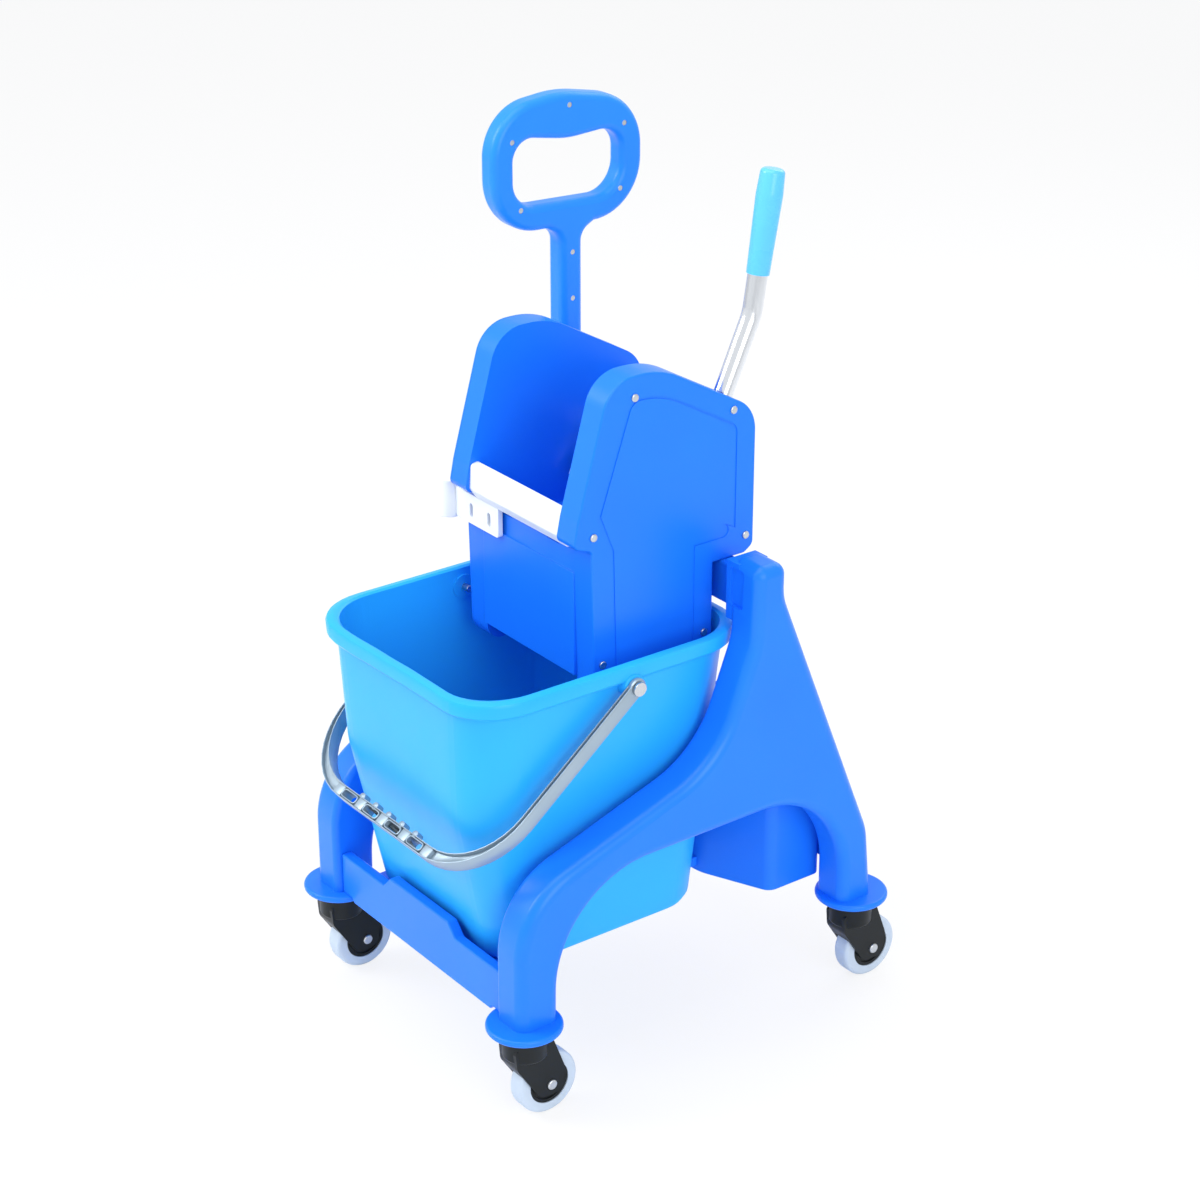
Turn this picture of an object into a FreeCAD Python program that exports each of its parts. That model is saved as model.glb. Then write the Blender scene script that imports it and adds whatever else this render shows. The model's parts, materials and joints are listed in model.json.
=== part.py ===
"""Single-bucket mopping trolley with a hanging lever wringer.

Millimetres. +X is the right side, -Y the front (bucket end), +Z up, floor at Z = 0.
Shapes are drawn about the middle of the four caster pivots and moved once, on export,
so that the origin is the middle of the whole trolley's footprint.
"""
import FreeCAD
import Part
import math
import os

V = FreeCAD.Vector

# ---------------------------------------------------------------- driving sizes
# running gear
TRACK = 370.0             # left to right caster pivots
WHEELBASE = 463.0         # front to rear caster pivots
WHEEL_D = 75.0
WHEEL_W = 23.0
HUB_R = 25.0
AXLE_R = 4.0
FORK_T = 3.5
STEM_R = 7.0
STEM_GRIP = 42.0          # stem length inside the leg
CASTER_TRAIL = 24.0       # wheel axle behind the swivel axis
CROWN_GAP = 36.0          # caster flange above the wheel
FLANGE_T = 8.0
FLANGE_R = 42.0
# chassis
FRAME_T = 46.0            # side frame thickness
FRAME_OVER = 21.0         # side frame outer face beyond the caster pivots
LEG_W = 52.0
LEG_AHEAD = 19.5          # front leg's edge ahead of its pivot
LEG_BEHIND = 15.5         # rear leg's edge behind its pivot
ARCH_TOP = 278.0
TOWER_FRONT = 60.0
TOWER_D = 44.0            # tower depth, front to rear
TOWER_TOP = 572.0
BOSS_T = 10.0             # tower block standing in from the side frame
BEAM_Z = 548.0            # top of the tower crossbeam
BEAM_H = 48.0
BEAM_T = 20.0
BAR_T = 13.0              # front crossbar thickness
BAR_RAISED = 15.0         # raised middle of the front crossbar
LEDGE_D = 39.0            # bucket ledge behind the front crossbar
LEDGE_T = 12.0
POCKET_Z0 = 128.0
POCKET_Z1 = 300.0
POCKET_FRONT = 96.0
POCKET_WALL = 4.0
REAR_BAR_T = 20.0
# push handle
RING_TUBE = 29.0          # push ring section
RING_Y0 = 6.0             # ring centre line, front end
RING_Y1 = 181.0
RING_Z0 = 866.0
RING_Z1 = 982.0
POST_W = 30.0
HANDLE_Y = 97.0
SCREW_R = 3.2
SCREW_SUNK = 5.0
SCREW_DEEP = 0.4          # screw head below the handle's face
# bucket and bail
BUCKET_BOTTOM = 148.0
BUCKET_RIM = 487.0
BUCKET_WALL = 4.0
BUCKET_KNEE = 340.0       # height at which the front wall bends
FOOT_BEHIND = 33.0        # bucket foot behind the front legs' edge
FOOT_IN = 22.0            # bucket foot in from the side frames
KNEE_OUT = 40.0           # knee ahead of the foot
RIM_OUT = 59.0            # rim ahead of the foot
RIM_OVER = 6.0            # rim beyond the side frames' inner faces
RIM_REAR = 98.0
RIM_LIP = 9.0             # rim band beyond the wall at the sides
RIM_H = 17.0
BUCKET_REAR_FOOT = 52.0
EAR_R = 13.0
STUD_R = 4.0
BAIL_Y = -72.0
BAIL_Z = 463.0
BAIL_REST = math.radians(39.0)
BAIL_W = 18.0             # bail strip width
BAIL_T = 5.0              # bail thickness beside the ears
BAIL_OVER = 63.0          # grip beyond the rim, measured along the raised bail
GRIP_HALF = 8.0           # half depth of the bail's grip
WINDOWS = 4               # windows through the bail's grip
WINDOW_PITCH = 48.0
WINDOW_HALF = 17.0
# wringer
WRINGER_HALF = 116.0      # half width over the cheek covers
CHEEK_T = 32.0            # cheek thickness with its cover
COVER_T = 4.0
CHEEK_PLATE = 3.0
CHEEK_RIM = 6.0
CHEEK_FRONT = -90.0
CHEEK_REAR = 129.0
CHEEK_FOOT = 424.0
CHEEK_TOP = 786.0
NOSE_Y = -113.0
LIP_Z = 600.0
WALL_T = 6.0
BOLT_R = 2.5
FLOOR_Z = 478.0
FLOOR_T = 4.0
JAW_FOOT_Y = -14.0        # jaw front face at the floor
JAW_SLOPE = math.tan(math.radians(28.0))
JAW_T = 9.0
BACK_T = 5.0
ARM_T = 8.0               # jaw arms
RAIL_H = 10.0             # rails under the jaw arms
RACK_BACK = 12.0          # rack body under its teeth
JAW_TRAVEL = 50.0
# lever train
SHAFT_D = 16.0
SHAFT_Y = 58.0
BUSH_R = 12.0
GEAR_MODULE = 4.0
GEAR_TEETH = 28           # full circle that the sector is cut from
GEAR_W = 10.0
PRESSURE = math.radians(20)
LEVER_D = 22.0
LEVER_WALL = 2.0
LEVER_HUB_R = 18.0
LEVER_LEAN = math.radians(24.5)
GRIP_LEAN = math.radians(9.0)
BEND_Y = 133.0
BEND_R = 60.0
TUBE_ABOVE = 68.0         # bend to the grip's mouth, plus its overlap
GRIP_D = 29.0
GRIP_L = 112.0
# handle clip
CLIP_BORE_R = 12.5
CLIP_T = 4.0
CLIP_MOUTH = math.radians(52)

# ---------------------------------------------------------------- clearances
RUN = 0.05                # radial running clearance of a shaft in its hole
SEAT = 0.3                # gap between pieces that part from each other
SIDE_GAP = 1.0            # wheel to fork, lever to cheek and the like
TYRE_GAP = 2.5            # tyre to fork crown
BACK_GAP = 2.0            # jaw to back plate
RAIL_GAP = 9.7            # rails above the tower crossbeam
BUCKET_GAP = 4.0          # cheek to the inside of the bucket
TOOTH_SLACK = 0.25

# ---------------------------------------------------------------- derived places
PIVOT_X = TRACK / 2
PIVOT_Y = WHEELBASE / 2
FLANGE_Z = WHEEL_D + CROWN_GAP
FOOT_Z = FLANGE_Z + FLANGE_T
STEM_TOP = FOOT_Z + STEM_GRIP
FRAME_OUT = PIVOT_X + FRAME_OVER
FRAME_IN = FRAME_OUT - FRAME_T
LEG_FRONT = -PIVOT_Y - LEG_AHEAD
LEG_REAR = PIVOT_Y + LEG_BEHIND
TOWER_REAR = TOWER_FRONT + TOWER_D
BOSS_IN = FRAME_IN - BOSS_T
POCKET_BACK = LEG_REAR - 32.0
POCKET_HALF = FRAME_IN - 12.0
HANDLE_X = -(FRAME_OUT + BOSS_IN) / 2 - 7.0
BUCKET_FOOT = LEG_FRONT + FOOT_BEHIND
FOOT_HALF = FRAME_IN - FOOT_IN
RIM_FRONT = BUCKET_FOOT - RIM_OUT
RIM_HALF = FRAME_IN + RIM_OVER
EAR_FACE = RIM_HALF + 2.0
BAIL_IN = EAR_FACE + SIDE_GAP
BAIL_REACH = BAIL_Y - RIM_FRONT + BAIL_OVER
REAR_EXTENT = PIVOT_Y + CASTER_TRAIL + WHEEL_D / 2
BAIL_FRONT = (BAIL_Y - (BAIL_REACH + GRIP_HALF) * math.cos(BAIL_REST)
              - BAIL_W / 2 * math.sin(BAIL_REST))
ORIGIN_Y = (REAR_EXTENT + min(BAIL_FRONT, -PIVOT_Y - FLANGE_R)) / 2
CHEEK_OUT = WRINGER_HALF
CHEEK_IN = WRINGER_HALF - CHEEK_T
JAW_HALF = CHEEK_IN - 9.0
RACK_X1 = CHEEK_IN - 10.0
RACK_X0 = RACK_X1 - GEAR_W
ARM_X0 = RACK_X0 - 4.0
RACK_REAR = CHEEK_REAR - 8.0
PITCH_R = GEAR_MODULE * GEAR_TEETH / 2
GEAR_TIP = GEAR_MODULE
GEAR_ROOT = 1.25 * GEAR_MODULE
ARM_Z1 = BEAM_Z + RAIL_GAP + RAIL_H + SEAT + ARM_T
RACK_Z = ARM_Z1 + RACK_BACK + GEAR_ROOT
SHAFT_Z = RACK_Z + PITCH_R
SQUEEZE = JAW_TRAVEL / PITCH_R
LEVER_X = CHEEK_OUT - COVER_T - SIDE_GAP - 0.5 - LEVER_D / 2
BEND_Z = SHAFT_Z + (BEND_Y - SHAFT_Y) / math.tan(LEVER_LEAN)
TAB_END = -WRINGER_HALF - 12.0
CLIP_X = TAB_END - CLIP_BORE_R - CLIP_T + 1.0
CLIP_Y = CHEEK_FRONT - 3.0
CLIP_Z0 = LIP_Z - 38.0
CLIP_Z1 = LIP_Z + 6.0


# ---------------------------------------------------------------- drawing helpers
def on_yz(x):
    """Place a drawn (y, z) point on the plane at x."""
    return lambda a, b: V(x, a, b)


def on_xz(y):
    """Place a drawn (x, z) point on the plane at y."""
    return lambda a, b: V(a, y, b)


def on_xy(z):
    """Place a drawn (x, y) point on the plane at z."""
    return lambda a, b: V(a, b, z)


def rounded_wire(corners, place):
    """Closed wire through corners (a, b, radius), each corner a tangent arc."""
    tangents = []
    count = len(corners)
    for i in range(count):
        a, b, radius = corners[i]
        here = V(a, b, 0)
        before = V(corners[i - 1][0], corners[i - 1][1], 0) - here
        after = V(corners[(i + 1) % count][0], corners[(i + 1) % count][1], 0) - here
        before.normalize()
        after.normalize()
        if radius <= 0:
            tangents.append((here, None, here))
            continue
        half = before.getAngle(after) / 2
        run = radius / math.tan(half)
        inward = before + after
        inward.normalize()
        middle = here + inward * (radius / math.sin(half) - radius)
        tangents.append((here + before * run, middle, here + after * run))
    edges = []
    for i in range(count):
        start, middle, end = [p and place(p.x, p.y) for p in tangents[i]]
        if middle:
            edges.append(Part.Arc(start, middle, end).toShape())
        following = place(tangents[(i + 1) % count][0].x, tangents[(i + 1) % count][0].y)
        if end.distanceToPoint(following) > 1e-6:
            edges.append(Part.LineSegment(end, following).toShape())
    return Part.Wire(edges)


def prism(corners, place, along):
    """Solid made by pushing a rounded outline along a vector."""
    return Part.Face(rounded_wire(corners, place)).extrude(along)


def plate_x(corners, x0, x1):
    """Solid with a (y, z) outline, from x0 to x1."""
    return prism(corners, on_yz(x0), V(x1 - x0, 0, 0))


def plate_z(corners, z0, z1):
    """Solid with an (x, y) outline, from z0 to z1."""
    return prism(corners, on_xy(z0), V(0, 0, z1 - z0))


def box(x0, x1, y0, y1, z0, z1):
    """Box between two corners."""
    return Part.makeBox(x1 - x0, y1 - y0, z1 - z0, V(x0, y0, z0))


def rod_x(x0, x1, y, z, radius):
    """Round bar along X."""
    return Part.makeCylinder(radius, x1 - x0, V(x0, y, z), V(1, 0, 0))


def side_rod(side, near, far, y, z, radius):
    """Round bar along X between two distances from the middle, on side -1 or 1."""
    return rod_x(min(side * near, side * far), max(side * near, side * far), y, z, radius)


def post(x, y, z0, z1, radius):
    """Round bar along Z."""
    return Part.makeCylinder(radius, z1 - z0, V(x, y, z0), V(0, 0, 1))


def rounded_rect(a0, a1, b0, b1, radius):
    """Corners of a rectangle with one corner radius."""
    return [(a0, b0, radius), (a1, b0, radius), (a1, b1, radius), (a0, b1, radius)]


def edges_at(shape, axis, value):
    """Edges that lie wholly in the plane axis = value."""
    low, high = axis + "Min", axis + "Max"
    return [e for e in shape.Edges
            if abs(getattr(e.BoundBox, low) - value) < 1e-3
            and abs(getattr(e.BoundBox, high) - value) < 1e-3]


def soften(shape, radius, axis, value, above=None):
    """Round the edges in one plane, leaving out those at or below a height."""
    chosen = edges_at(shape, axis, value)
    if above is not None:
        chosen = [e for e in chosen if e.BoundBox.ZMax > above + 1e-3]
    return shape.makeFillet(radius, chosen)


def mirrored(shape):
    """The same piece on the other side of the trolley."""
    return shape.mirror(V(0, 0, 0), V(1, 0, 0))


def export(name, shape):
    """Write one piece about the trolley's own origin."""
    if isinstance(shape, (list, tuple)):
        shape = Part.makeCompound(list(shape))
    elif len(shape.Solids) == 1:
        shape = shape.Solids[0]
    moved = shape.copy()
    moved.translate(V(0, -ORIGIN_Y, 0))
    moved.exportStep("parts/%s.step" % name)


# ---------------------------------------------------------------- chassis
def side_frame():
    """Right side frame: two legs, an arch and a leaning tower."""
    outline = [
        (LEG_FRONT, FOOT_Z, 0),
        (LEG_FRONT, ARCH_TOP - 6, 100),
        (12, ARCH_TOP + 82, 120),
        (TOWER_FRONT, BUCKET_RIM - 3, 80),
        (TOWER_FRONT + 3, TOWER_TOP, 14),
        (TOWER_REAR, TOWER_TOP, 14),
        (TOWER_REAR, TOWER_TOP - 41, 60),
        (LEG_REAR - 9, FOOT_Z + 86, 80),
        (LEG_REAR, FOOT_Z, 0),
        (LEG_REAR - LEG_W + 4, FOOT_Z, 0),
        (LEG_REAR - LEG_W + 2, ARCH_TOP, 118),
        (LEG_FRONT + LEG_W + 2, ARCH_TOP - 4, 122),
        (LEG_FRONT + LEG_W, FOOT_Z, 0),
    ]
    frame = plate_x(outline, FRAME_IN, FRAME_OUT)
    frame = soften(frame, 13, "X", FRAME_OUT, FOOT_Z)
    frame = soften(frame, 8, "X", FRAME_IN, FOOT_Z)
    boss = box(BOSS_IN, FRAME_IN + 12, TOWER_FRONT + 3, TOWER_REAR - 2,
               BEAM_Z - BEAM_H, TOWER_TOP - 4)
    boss = boss.makeFillet(2, edges_at(boss, "X", BOSS_IN))
    recess = prism(rounded_rect(FRAME_IN - 2, FRAME_IN + 21, BEAM_Z - 30, TOWER_TOP - 10, 4),
                   on_xz(TOWER_FRONT), V(0, 5.5, 0))
    frame = frame.fuse(boss).cut(recess)
    for y in (-PIVOT_Y, PIVOT_Y):
        frame = frame.cut(post(PIVOT_X, y, FOOT_Z - 1, STEM_TOP + 1, STEM_R + RUN))
    return frame.removeSplitter()


def front_crossbar():
    """Bar between the front legs, with a ledge under the bucket's front foot."""
    face = LEG_FRONT + 8
    top = FLANGE_Z + 58
    raised = BAR_RAISED
    clear = PIVOT_X - FLANGE_R - 2
    outline = [
        (-FRAME_IN, FOOT_Z, 0), (-clear, FOOT_Z, 3), (4 - clear, FLANGE_Z + 3, 3),
        (clear - 4, FLANGE_Z + 3, 3), (clear, FOOT_Z, 3), (FRAME_IN, FOOT_Z, 0), (FRAME_IN, top, 0),
        (72, top, 6), (58, top + raised, 6), (-58, top + raised, 6), (-72, top, 6),
        (-FRAME_IN, top, 0),
    ]
    bar = prism(outline, on_xz(face), V(0, BAR_T, 0))
    bar = bar.makeFillet(2, [e for e in edges_at(bar, "Y", face) if e.BoundBox.XLength > 1])
    half = FRAME_IN - 30
    ledge = box(-half, half, face + BAR_T, face + BAR_T + LEDGE_D,
                BUCKET_BOTTOM - LEDGE_T, BUCKET_BOTTOM - SEAT)
    return bar.fuse(ledge).removeSplitter()


def tower_crossbeam():
    """Beam between the towers that carries the wringer."""
    beam = box(-BOSS_IN, BOSS_IN, TOWER_REAR - BEAM_T, TOWER_REAR, BEAM_Z - BEAM_H, BEAM_Z)
    long_edges = [e for e in beam.Edges if e.BoundBox.XLength > 10]
    beam = beam.makeFillet(2.5, long_edges)
    recess = prism(rounded_rect(-BOSS_IN + 14, BOSS_IN - 14, BEAM_Z - BEAM_H + 10, BEAM_Z - 10, 5),
                   on_xz(TOWER_REAR), V(0, -4, 0))
    return beam.cut(recess)


def rear_crossbar():
    """Low bar between the rear legs."""
    bar = box(-FRAME_IN, FRAME_IN, POCKET_BACK, POCKET_BACK + REAR_BAR_T,
              POCKET_Z0 + 22, POCKET_Z0 + 70)
    return bar.makeFillet(3, [e for e in bar.Edges if e.BoundBox.XLength > 10])


def pocket_outline(inset):
    """Bowed plan outline of the rear storage pocket."""
    side = POCKET_HALF - inset
    front = POCKET_FRONT + inset
    return [
        (-side, POCKET_BACK - inset, 8), (-side, front + 44, 16), (-62, front + 6, 60),
        (62, front + 6, 60), (side, front + 44, 16), (side, POCKET_BACK - inset, 8),
    ]


def rear_pocket():
    """Open-topped storage pocket carried on the rear bar."""
    shell = plate_z(pocket_outline(0), POCKET_Z0, POCKET_Z1)
    shell = shell.makeFillet(3, edges_at(shell, "Z", POCKET_Z0))
    return shell.cut(plate_z(pocket_outline(POCKET_WALL), POCKET_Z0 + POCKET_WALL, POCKET_Z1 + 1))


def bucket_rear_rest():
    """Ledge on the pocket's front wall that carries the rear of the bucket."""
    ledge = box(-60, 60, BUCKET_REAR_FOOT - 26, POCKET_BACK - 20,
                BUCKET_BOTTOM - LEDGE_T, BUCKET_BOTTOM - SEAT)
    return ledge.cut(plate_z(pocket_outline(0), POCKET_Z0, POCKET_Z1))


# ---------------------------------------------------------------- casters
def caster_flange(x, y):
    """Round flange between leg and caster."""
    disc = post(x, y, FLANGE_Z, FOOT_Z, FLANGE_R)
    rims = [e for e in disc.Edges if e.BoundBox.XLength > FLANGE_R and e.Length > 4 * FLANGE_R]
    disc = disc.makeFillet(3.5, rims)
    return disc.cut(post(x, y, FLANGE_Z - 1, FOOT_Z + 1, STEM_R + RUN))


def caster_fork(x, y):
    """Swivel stem, crown and two fork cheeks."""
    axle_y = y + CASTER_TRAIL
    axle_z = WHEEL_D / 2
    crown_z = WHEEL_D + 3
    inner = WHEEL_W / 2 + SIDE_GAP
    outer = inner + FORK_T
    stem = post(x, y, crown_z + 8, STEM_TOP, STEM_R)
    crown = post(x, y, crown_z, FLANGE_Z - SIDE_GAP, 25)
    crown = crown.makeFillet(4, edges_at(crown, "Z", crown_z))
    side = [
        (y - 23, crown_z + 18, 5), (y - 21, crown_z - 6, 14), (axle_y - 14, axle_z - 13, 13),
        (axle_y + 15, axle_z - 13, 13), (axle_y + 18, axle_z + 16, 12), (y + 26, crown_z + 18, 8),
    ]
    body = plate_x(side, x - outer, x + outer)
    wheel_room = rod_x(x - inner, x + inner, axle_y, axle_z, WHEEL_D / 2 + TYRE_GAP)
    below = box(x - inner, x + inner, axle_y - 60, axle_y + 60, -20, axle_z)
    fork = body.cut(wheel_room).cut(below).fuse(crown).fuse(stem)
    return fork.cut(rod_x(x - 30, x + 30, axle_y, axle_z, AXLE_R)).removeSplitter()


def caster_axle(x, y):
    """Axle bolt with a domed cap at each end."""
    axle_y = y + CASTER_TRAIL
    half = WHEEL_W / 2 + SIDE_GAP + FORK_T
    pin = rod_x(x - half, x + half, axle_y, WHEEL_D / 2, AXLE_R)
    cap_t = 2.5
    for x0, face in ((x - half - cap_t, x - half - cap_t), (x + half, x + half + cap_t)):
        cap = rod_x(x0, x0 + cap_t, axle_y, WHEEL_D / 2, 1.5 * AXLE_R)
        pin = pin.fuse(cap.makeFillet(1.8, edges_at(cap, "X", face)))
    return pin.removeSplitter()


def caster_hub(x, y):
    """Wheel centre with a raised boss and a shallow dish each side."""
    axle_y = y + CASTER_TRAIL
    axle_z = WHEEL_D / 2
    half = WHEEL_W / 2 - 1
    hub = rod_x(x - half, x + half, axle_y, axle_z, HUB_R)
    for x0, x1 in ((x - half - 1, x - half + 2), (x + half - 2, x + half + 1)):
        dish = rod_x(x0, x1, axle_y, axle_z, HUB_R - 4).cut(rod_x(x0, x1, axle_y, axle_z, 11))
        hub = hub.cut(dish)
    return hub.cut(rod_x(x - 30, x + 30, axle_y, axle_z, AXLE_R + RUN))


def caster_tyre(x, y):
    """Soft tread on the wheel centre."""
    axle_y = y + CASTER_TRAIL
    axle_z = WHEEL_D / 2
    tyre = rod_x(x - WHEEL_W / 2, x + WHEEL_W / 2, axle_y, axle_z, WHEEL_D / 2)
    tyre = tyre.makeFillet(5, edges_at(tyre, "X", x - WHEEL_W / 2) + edges_at(tyre, "X", x + WHEEL_W / 2))
    return tyre.cut(rod_x(x - 30, x + 30, axle_y, axle_z, HUB_R))


# ---------------------------------------------------------------- push handle
def ring_outline(grow):
    """Closed (y, z) outline parallel to the ring's centre line."""
    mid_y = (RING_Y0 + RING_Y1) / 2
    return [
        (RING_Y0 - grow, RING_Z0 + 2 - grow, 48 + grow),
        (RING_Y1 + grow, RING_Z0 - 4 - grow, 50 + grow),
        (RING_Y1 + grow, RING_Z1 - 14 + grow, 52 + grow),
        (mid_y - 6, RING_Z1 + 7 + grow, 150),
        (RING_Y0 - grow, RING_Z1 - 3 + grow, 46 + grow),
    ]


def grip_outline():
    """Closed (y, z) outline of the ring's opening, with the bulge of the grip."""
    grow = -RING_TUBE / 2
    mid_y = (RING_Y0 + RING_Y1) / 2
    return [
        (RING_Y0 - grow, RING_Z0 + 2 - grow, 30),
        (RING_Y1 + grow, RING_Z0 - 4 - grow, 34),
        (RING_Y1 + grow, RING_Z1 - 14 + grow, 26),
        (mid_y, RING_Z1 - 26 + grow / 2, 120),
        (RING_Y0 - grow, RING_Z1 - 6 + grow, 24),
    ]


def handle_body():
    """Whole push handle: post and ring, before it is split into shells."""
    half = RING_TUBE / 2
    ring = plate_x(ring_outline(half), HANDLE_X - half, HANDLE_X + half)
    stem = plate_x([
        (HANDLE_Y - POST_W / 2, TOWER_TOP, 0), (HANDLE_Y - POST_W / 2, RING_Z0 - 24, 18),
        (HANDLE_Y - 52, RING_Z0 - 4, 0), (HANDLE_Y + 52, RING_Z0 - 6, 0),
        (HANDLE_Y + POST_W / 2, RING_Z0 - 26, 18), (HANDLE_Y + POST_W / 2, TOWER_TOP, 0),
    ], HANDLE_X - half, HANDLE_X + half)
    body = ring.fuse(stem).removeSplitter()
    body = body.cut(plate_x(grip_outline(), HANDLE_X - half - 1, HANDLE_X + half + 1))
    for face in (HANDLE_X - half, HANDLE_X + half):
        body = soften(body, 9, "X", face, TOWER_TOP)
    return body


def handle_screw_places():
    """(y, z) of the screws that join the two handle shells."""
    top = RING_Z1 + 6
    return [
        (mid_ring_y(0.50), top), (mid_ring_y(0.93), RING_Z1 - 26), (mid_ring_y(0.06), RING_Z1 - 24),
        (mid_ring_y(0.12), RING_Z0 + 14), (mid_ring_y(0.90), RING_Z0 + 16),
        (HANDLE_Y, RING_Z0 - 46), (HANDLE_Y, RING_Z0 - 100),
    ]


def mid_ring_y(share):
    """Y along the ring's width."""
    return RING_Y0 + share * (RING_Y1 - RING_Y0)


def handle_screws():
    """Pan-head screws in the inner shell, one per place."""
    face = HANDLE_X + RING_TUBE / 2
    return [rod_x(face - SCREW_SUNK, face - SCREW_DEEP, y, z, SCREW_R) for y, z in handle_screw_places()]


def handle_shells():
    """Outer and inner half of the handle."""
    body = handle_body()
    split = HANDLE_X
    outer = body.common(box(split - 60, split, -100, 300, TOWER_TOP - 5, 1100))
    inner = body.common(box(split, split + 60, -100, 300, TOWER_TOP - 5, 1100))
    face = HANDLE_X + RING_TUBE / 2
    for y, z in handle_screw_places():
        inner = inner.cut(rod_x(face - SCREW_SUNK, face + 5, y, z, SCREW_R))
    return outer, inner


# ---------------------------------------------------------------- bucket and bail
def bucket_section(z, grow):
    """Plan outline of the bucket wall at one height, moved outwards by grow."""
    share = (z - BUCKET_BOTTOM) / (BUCKET_RIM - BUCKET_BOTTOM)
    half = FOOT_HALF + (RIM_HALF - RIM_LIP - FOOT_HALF) * share + grow
    brow = BUCKET_FOOT - KNEE_OUT
    top = RIM_FRONT + 12
    if z <= BUCKET_KNEE:
        front = BUCKET_FOOT + (brow - BUCKET_FOOT) * (z - BUCKET_BOTTOM) / (BUCKET_KNEE - BUCKET_BOTTOM)
    else:
        front = brow + (top - brow) * (z - BUCKET_KNEE) / (BUCKET_RIM - BUCKET_KNEE)
    rear = BUCKET_REAR_FOOT + (RIM_REAR - 10 - BUCKET_REAR_FOOT) * share
    return half, front - grow, rear + grow, 44 + 8 * share + grow


def bucket_wire(z, grow):
    """Rounded plan wire of the bucket at one height."""
    half, front, rear, radius = bucket_section(z, grow)
    return rounded_wire(rounded_rect(-half, half, front, rear, radius), on_xy(z))


def bucket_solid(grow, z0, z1):
    """Solid between two heights with the knee of the front wall."""
    lower = Part.makeLoft([bucket_wire(z0, grow), bucket_wire(BUCKET_KNEE, grow)], True, True)
    upper = Part.makeLoft([bucket_wire(BUCKET_KNEE, grow), bucket_wire(z1, grow)], True, True)
    return lower.fuse(upper)


def bucket():
    """Tapered bucket with a rolled rim band and two bail ears."""
    outer = bucket_solid(0, BUCKET_BOTTOM, BUCKET_RIM)
    rim_outline = rounded_rect(-RIM_HALF, RIM_HALF, RIM_FRONT, RIM_REAR, 68)
    rim = plate_z(rim_outline, BUCKET_RIM - RIM_H, BUCKET_RIM)
    rim = rim.makeFillet(4, edges_at(rim, "Z", BUCKET_RIM))
    rim = rim.makeFillet(2, edges_at(rim, "Z", BUCKET_RIM - RIM_H))
    inner = bucket_solid(-BUCKET_WALL, BUCKET_BOTTOM + BUCKET_WALL, BUCKET_RIM + 2)
    body = outer.fuse(rim)
    for side in (-1, 1):
        body = body.fuse(side_rod(side, EAR_FACE - 18, EAR_FACE, BAIL_Y, BAIL_Z, EAR_R))
    body = body.cut(inner)
    for side in (-1, 1):
        body = body.cut(side_rod(side, EAR_FACE - 38, EAR_FACE + 12, BAIL_Y, BAIL_Z, STUD_R))
    return body.removeSplitter()


def bail():
    """Carrying bail: a flat U with finger windows, hung from the ears."""
    mid = BAIL_IN + BAIL_T / 2
    outer_half = BAIL_IN + BAIL_T
    depth = BAIL_W / 2
    outline_out = [
        (-outer_half, 0, 0), (outer_half, 0, 0),
        (outer_half, BAIL_REACH + GRIP_HALF, 92), (-outer_half, BAIL_REACH + GRIP_HALF, 92),
    ]
    outline_in = [
        (-BAIL_IN, -1, 0), (BAIL_IN, -1, 0),
        (BAIL_IN - 1, BAIL_REACH - GRIP_HALF, 80), (-BAIL_IN + 1, BAIL_REACH - GRIP_HALF, 80),
    ]

    def flat(a, b):
        return V(a, -b, -depth)

    strip = prism(outline_out, flat, V(0, 0, BAIL_W))
    strip = strip.cut(prism(outline_in, lambda a, b: V(a, -b, -depth - 1), V(0, 0, BAIL_W + 2)))
    for side in (-1, 1):
        strip = strip.fuse(side_rod(side, BAIL_IN, outer_half, 0, 0, depth + 2))
    for side in (-1, 1):
        strip = strip.cut(rod_x(side * mid - 10, side * mid + 10, 0, 0, STUD_R + RUN))
    for k in range(WINDOWS):
        x = (k - (WINDOWS - 1) / 2) * WINDOW_PITCH
        window = box(x - WINDOW_HALF, x + WINDOW_HALF, -BAIL_REACH - 4.5, -BAIL_REACH + 4.5,
                     -depth - 1, depth + 1)
        strip = strip.cut(window)
    strip = strip.removeSplitter()
    strip.rotate(V(0, 0, 0), V(1, 0, 0), math.degrees(BAIL_REST))
    strip.translate(V(0, BAIL_Y, BAIL_Z))
    return strip


def bail_studs():
    """Headed studs that pin the bail to the ears."""
    studs = []
    for side in (-1, 1):
        outside = BAIL_IN + BAIL_T + SIDE_GAP
        shank = side_rod(side, EAR_FACE - 28, outside, BAIL_Y, BAIL_Z, STUD_R)
        head = side_rod(side, outside, outside + 3, BAIL_Y, BAIL_Z, 2 * STUD_R)
        studs.append(shank.fuse(head).removeSplitter())
    return studs


# ---------------------------------------------------------------- wringer
CHEEK_BACK = bucket_section(CHEEK_FOOT, -BUCKET_WALL)[2] - BUCKET_GAP


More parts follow.
